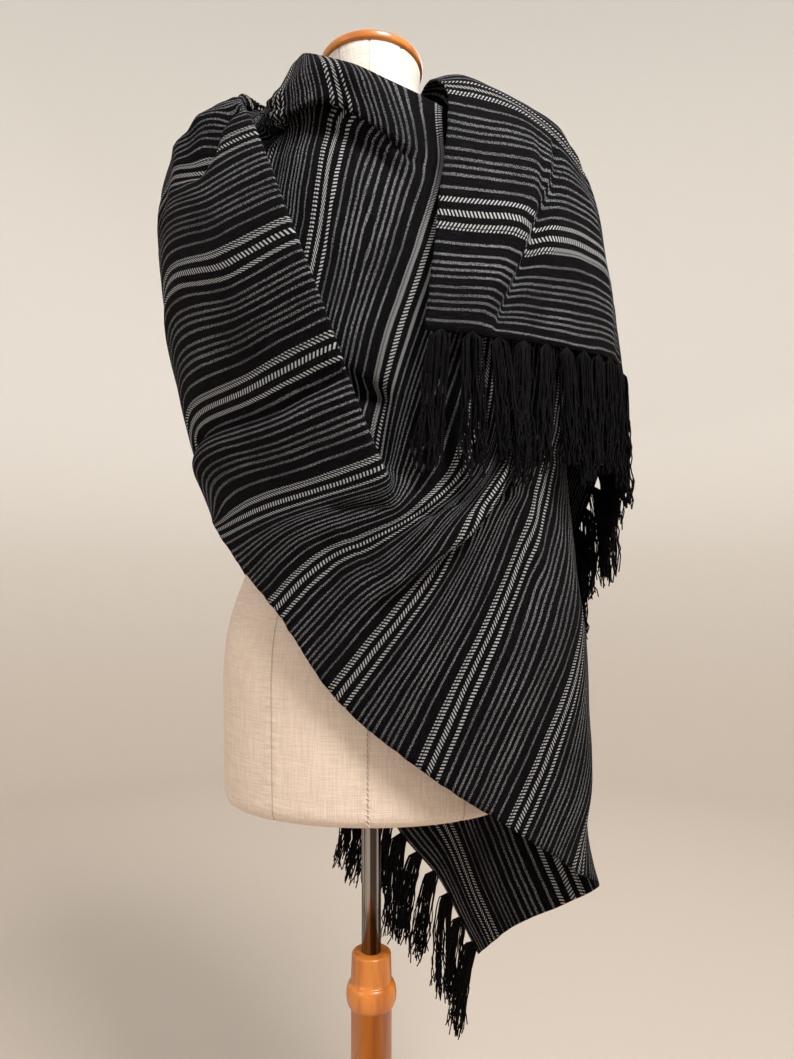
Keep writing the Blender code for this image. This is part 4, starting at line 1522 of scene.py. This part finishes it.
@dataclass
class DressForm:
    """The canvas-covered form in eight gores, with its wooden neck cap.

    edge and cap_edge hold the rounded edges' levels above the bottom, each with its inset.
    """

    bottom: float = 0.675
    top: float = 1.490
    seams_deg: tuple[float, ...] = (-180.0, -127.0, -90.0, -53.0, 0.0, 50.0, 90.0, 130.0)
    cuts: int = 14
    levels: int = 150
    edge: tuple[tuple[float, float], ...] = ((0.0, 0.0050), (0.0006, 0.0022), (0.0022, 0.0005), (0.005, 0.0))
    seam_depth: float = 0.0008
    stitch_levels: tuple[float, float] = (0.006, 0.150)
    stitch_spacing: float = 0.0055
    stitch_length: float = 0.0052
    thread_radius: float = 0.00042
    cap_half_width: float = 0.058
    cap_half_depth: float = 0.069
    cap_gap: float = 0.0003
    cap_facets: int = 96
    cap_edge: tuple[tuple[float, float], ...] = (
        (0.0, 0.0040), (0.0003, 0.0022), (0.0014, 0.0006), (0.0030, 0.0), (0.0070, 0.0),
        (0.0086, 0.0006), (0.0097, 0.0022), (0.0100, 0.0045))

    def ring(self, level: float, inset: float = 0.0) -> list[tuple[float, float, float, float]]:
        """Lay out the points round the form at one level.

        Args:
            level: metres above its bottom.
            inset: metres that the ring lies inside the form's surface.

        Returns:
            x, y and z of each point, and its place counted in gores.
        """
        heights = np.array([r.height for r in TORSO_RINGS])
        sizes = np.array([(r.half_width, r.front, r.back) for r in TORSO_RINGS])
        half_width, front, back = spline(heights, sizes, [level])[0] - inset
        points = []
        ends = (*self.seams_deg[1:], self.seams_deg[0] + 360.0)
        for gore, (start, end) in enumerate(zip(self.seams_deg, ends)):
            for cut in range(self.cuts):
                share = cut / self.cuts
                angle = math.radians(start + (end - start) * share)
                groove = self.seam_depth if cut == 0 else 0.0
                reach = (back if math.sin(angle) > 0 else front) - groove
                points.append(((half_width - groove) * math.cos(angle), reach * math.sin(angle),
                               self.bottom + level, gore + share))
        return points

    def build(self, material: bpy.types.Material) -> bpy.types.Object:
        """Loft the canvas body and give each gore its own stretch of the UV map.

        Args:
            material: the canvas's finish.

        Returns:
            The dressed body.
        """
        first = self.edge[-1][0]
        rise = self.top - self.bottom - first
        rows = [*self.edge, *((first + rise * i / self.levels, 0.0) for i in range(1, self.levels + 1))]
        bm = bmesh.new()
        layer = bm.loops.layers.uv.new("form")
        rings = [self.ring(level, inset) for level, inset in rows]
        gores = [*(point[3] for point in rings[0]), float(len(self.seams_deg))]
        bands = loft(bm, [[point[:3] for point in ring] for ring in rings])
        for band, (low, _), (high, _) in zip(bands, rows, rows[1:]):
            for face, gore, following in zip(band, gores, gores[1:]):
                places = ((gore, low), (following, low), (following, high), (gore, high))
                for corner, place in zip(face.loops, places):
                    corner[layer].uv = place
        mesh = bpy.data.meshes.new("form_canvas")
        bm.to_mesh(mesh)
        bm.free()
        return dress(to_object("form_canvas", mesh), material, Slot.CANVAS, "torso")

    def stitches(self, material: bpy.types.Material) -> bpy.types.Object:
        """Hand stitches up the centre-front seam, from the bottom edge to under the cloth.

        Args:
            material: the thread's finish.

        Returns:
            The dressed stitches.
        """
        levels = np.linspace(*self.stitch_levels, 30)
        points = [min(self.ring(level), key=lambda point: point[1] + abs(point[0]) * 9)[:3]
                  for level in levels]
        mesh = bpy.data.meshes.new("seam_line")
        mesh.from_pydata([(x, y - self.seam_depth * 0.5, z) for x, y, z in points],
                         [(i, i + 1) for i in range(len(points) - 1)], [])
        sewn = StitchNodes().apply(to_object("seam_line", mesh), "form_stitches", {
            "Spacing": self.stitch_spacing, "Length": self.stitch_length,
            "Thread radius": self.thread_radius, "Seed": 5, "Finish": material})
        return dress(sewn, material, Slot.CANVAS)

    def cap(self, material: bpy.types.Material) -> bpy.types.Object:
        """Make the oval neck cap with its rounded rim.

        Args:
            material: the wood's finish.

        Returns:
            The dressed cap.
        """
        turns = [math.tau * i / self.cap_facets for i in range(self.cap_facets)]
        bm = bmesh.new()
        loft(bm, [[((self.cap_half_width - inset) * math.cos(turn),
                    (self.cap_half_depth - inset) * math.sin(turn),
                    self.top + self.cap_gap + level) for turn in turns] for level, inset in self.cap_edge])
        mesh = bpy.data.meshes.new("form_neck_cap")
        bm.to_mesh(mesh)
        bm.free()
        return dress(to_object("form_neck_cap", mesh), material, Slot.WOOD, "neck_cap")


def turned(name: str, profile: Sequence[tuple[float, float]], steps: int) -> bpy.types.Object:
    """Turn a profile of (radius, height) points, top to bottom, round the vertical axis.

    Args:
        name: the piece's name.
        profile: its outline, from the axis at the top to the axis at the bottom.
        steps: how many facets it has all round.

    Returns:
        The turned piece as a plain mesh.
    """
    mesh = bpy.data.meshes.new(name + "_profile")
    edges = [(i, i + 1) for i in range(len(profile) - 1)]
    mesh.from_pydata([(radius, 0.0, height) for radius, height in profile], edges, [])
    obj = to_object(name + "_profile", mesh)
    screw = obj.modifiers.new("Turn", "SCREW")
    screw.axis = "Z"
    screw.steps = screw.render_steps = steps
    screw.use_merge_vertices = True
    screw.merge_threshold = 0.0001
    screw.use_smooth_shade = True
    return flat_copy(obj, name)


@dataclass
class Stand:
    """The round base, the turned post with its ring, and the steel pole."""

    base_radius: float = 0.180
    base_height: float = 0.028
    rounding: float = 0.010
    post_top: float = 0.502
    post_taper: float = 0.0008
    post_rounding: float = 0.003
    post_radius: float = 0.023
    ring_height: float = 0.455
    ring_radius: float = 0.0285
    ring_half: float = 0.014
    above_ring: float = 0.006
    foot_radius: float = 0.036
    foot_height: float = 0.022
    cove_height: float = 0.012
    pole_radius: float = 0.011
    pole_rounding: float = 0.001
    pole_top: float = 0.675
    gap: float = 0.0003

    @staticmethod
    def quarter(radius: float, height: float, size: float, steps: int = 6) -> list[tuple[float, float]]:
        """A rounded outer edge below a flat top, from the top round to the side."""
        turns = [math.radians(90) * i / steps for i in range(steps + 1)]
        return [(radius - size * (1 - math.sin(a)), height - size * (1 - math.cos(a))) for a in turns]

    def base(self, material: bpy.types.Material) -> bpy.types.Object:
        """Turn the round base plate.

        Args:
            material: its finish.

        Returns:
            The dressed base.
        """
        profile = [(0.0, self.base_height),
                   *self.quarter(self.base_radius, self.base_height, self.rounding),
                   (self.base_radius, 0.0020), (self.base_radius - 0.0006, 0.0006),
                   (self.base_radius - 0.002, 0.0), (0.0, 0.0)]
        return dress(turned("stand_base", profile, 128), material, Slot.WOOD, "base")

    def post(self, material: bpy.types.Material) -> bpy.types.Object:
        """Turn the post with its half-round ring and its flared foot.

        Args:
            material: its finish.

        Returns:
            The dressed post.
        """
        bottom = self.base_height + self.gap
        turns = [math.radians(180) * i / 20 for i in range(21)]
        ring = [(self.post_radius + (self.ring_radius - self.post_radius) * math.sin(a),
                 self.ring_height + self.ring_half * math.cos(a)) for a in turns]
        quarter_turns = [math.radians(90) * i / 10 for i in range(11)]
        flare = self.foot_radius - self.post_radius
        cove = [(self.post_radius + flare * (1 - math.cos(a)),
                 bottom + self.foot_height + self.cove_height * (1 - math.sin(a))) for a in quarter_turns]
        profile = [(0.0, self.post_top),
                   *self.quarter(self.post_radius - self.post_taper, self.post_top, self.post_rounding),
                   (self.post_radius, self.ring_height + self.ring_half + self.above_ring), *ring, *cove,
                   (self.foot_radius, bottom + self.foot_height - 0.001), (self.foot_radius, bottom),
                   (0.0, bottom)]
        return dress(turned("stand_post", profile, 72), material, Slot.WOOD, "post")

    def pole(self, material: bpy.types.Material) -> bpy.types.Object:
        """Turn the steel pole.

        Args:
            material: its finish.

        Returns:
            The dressed pole.
        """
        top = self.pole_top - self.gap
        profile = [(0.0, top), *self.quarter(self.pole_radius, top, self.pole_rounding, 3),
                   (self.pole_radius, self.post_top + self.gap), (0.0, self.post_top + self.gap)]
        return dress(turned("stand_pole", profile, 48), material, Slot.STEEL, "pole")


@dataclass(frozen=True)
class Lamp:
    """A square area lamp: where it hangs and points, its side in metres, its watts and its colour."""

    name: str
    place: tuple[float, float, float]
    target: tuple[float, float, float]
    size: float
    power: float
    colour: Colour

    def hang(self) -> None:
        """Add the lamp to the scene."""
        light = bpy.data.lights.new(self.name, "AREA")
        light.shape = "SQUARE"
        light.size = self.size
        light.energy = self.power
        light.color = self.colour
        obj = bpy.data.objects.new(self.name, light)
        obj.location = self.place
        obj.rotation_euler = (Vector(self.target) - Vector(self.place)).to_track_quat("-Z", "Y").to_euler()
        bpy.context.scene.collection.objects.link(obj)


LAMPS = (
    Lamp("key_lamp", (1.0, -1.45, 2.95), (0.0, 0.0, 1.10), 0.9, 98.0, (1.0, 0.955, 0.90)),
    Lamp("fill_lamp", (-2.3, -1.8, 1.9), (0.0, 0.0, 1.0), 1.6, 17.0, (1.0, 0.97, 0.94)),
    Lamp("back_lamp", (0.8, 2.3, 2.9), (0.0, 0.0, 1.1), 1.6, 20.0, (1.0, 0.98, 0.95)),
    Lamp("wall_lamp", (0.5, 0.7, 3.3), (0.3, 3.4, 1.3), 1.4, 7.0, (1.0, 0.97, 0.93)),
)


@dataclass
class Studio:
    """A pale seamless cove, darkening towards the floor as painted shade, soft lights and the camera."""

    reach: float = 3.4
    curve: float = 0.9
    wall: float = 4.6
    wall_paint: Colour = (0.80, 0.785, 0.755)
    floor_painted_shade: Colour = (0.555, 0.495, 0.44)
    air: Colour = (1.0, 0.975, 0.94)
    air_strength: float = 0.50
    camera_place: tuple[float, float, float] = (0.029, -0.90, 0.955)
    lens: float = 27.06
    shift_y: float = 0.0194

    def cove(self) -> None:
        """Make the floor that curves up into a round wall, its paint darker towards the floor as painted
        shade.
        """
        turns = [math.radians(90) * i / 16 for i in range(17)]
        profile = [(self.reach, self.wall),
                   *((self.reach - self.curve * (1 - math.cos(a)), self.curve * (1 - math.sin(a)))
                     for a in turns),
                   (0.0, 0.0)]
        obj = turned("studio_cove", profile, 96)
        graph = Graph("cove_paint_with_painted_shade")
        height = graph.tree.nodes.new("ShaderNodeSeparateXYZ")
        graph.put(height.inputs[0], graph.object_place())
        # Painted shade: the paint blends from the wall's colour down to the darker floor colour, standing in
        # for shade towards the floor.
        graph.set(Base_Color=graph.mix(graph.fit(height.outputs[2], 0.0, 1.6), self.floor_painted_shade,
                                       self.wall_paint), Roughness=0.95, Specular_IOR_Level=0.1)
        obj.data.materials.append(graph.material)

    def build(self) -> None:
        """Set up the cove, the lights, the world and the camera."""
        self.cove()
        for lamp in LAMPS:
            lamp.hang()
        world = bpy.data.worlds.new("soft_room")
        world.use_nodes = True
        background = world.node_tree.nodes["Background"]
        background.inputs["Color"].default_value = (*self.air, 1.0)
        background.inputs["Strength"].default_value = self.air_strength
        bpy.context.scene.world = world
        bpy.context.scene.view_settings.view_transform = "Standard"
        lens = bpy.data.cameras.new("camera")
        lens.lens = self.lens
        lens.sensor_width = 36.0
        lens.shift_y = self.shift_y
        camera = bpy.data.objects.new("camera", lens)
        camera.location = self.camera_place
        camera.rotation_euler = (math.radians(90), 0.0, 0.0)
        bpy.context.scene.collection.objects.link(camera)
        bpy.context.scene.camera = camera


def main() -> None:
    """Build and dress every piece, then the studio."""
    logging.basicConfig(level=logging.INFO, format="%(name)s: %(message)s")
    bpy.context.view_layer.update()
    wood = WoodFinish().material()
    board = WoodFinish("varnished_board", grain=(5.0, 70.0, 70.0)).material()
    yarn = YarnFinish().material()
    thread = YarnFinish("pale_sewing_thread", (0.72, 0.66, 0.58), (0.86, 0.82, 0.76)).material()
    shawl = Shawl()
    cloth = shawl.build(ShawlFinish().material())
    tree = TasselNodes()
    fringes = [fringe.build(shawl, tree, yarn) for fringe in (
        Fringe("fringe_tassels_back", "fringe_back_end", 0, (0.10, 0.30), seed=3),
        Fringe("fringe_tassels_front", "fringe_front_end", -1, (0.0, 0.0), seed=11))]
    form = DressForm()
    form.build(CanvasFinish().material())
    form.stitches(thread)
    form.cap(board)
    stand = Stand()
    stand.base(board)
    stand.post(wood)
    stand.pole(SteelFinish().material())
    Studio().build()


if __name__ == "__main__":
    main()
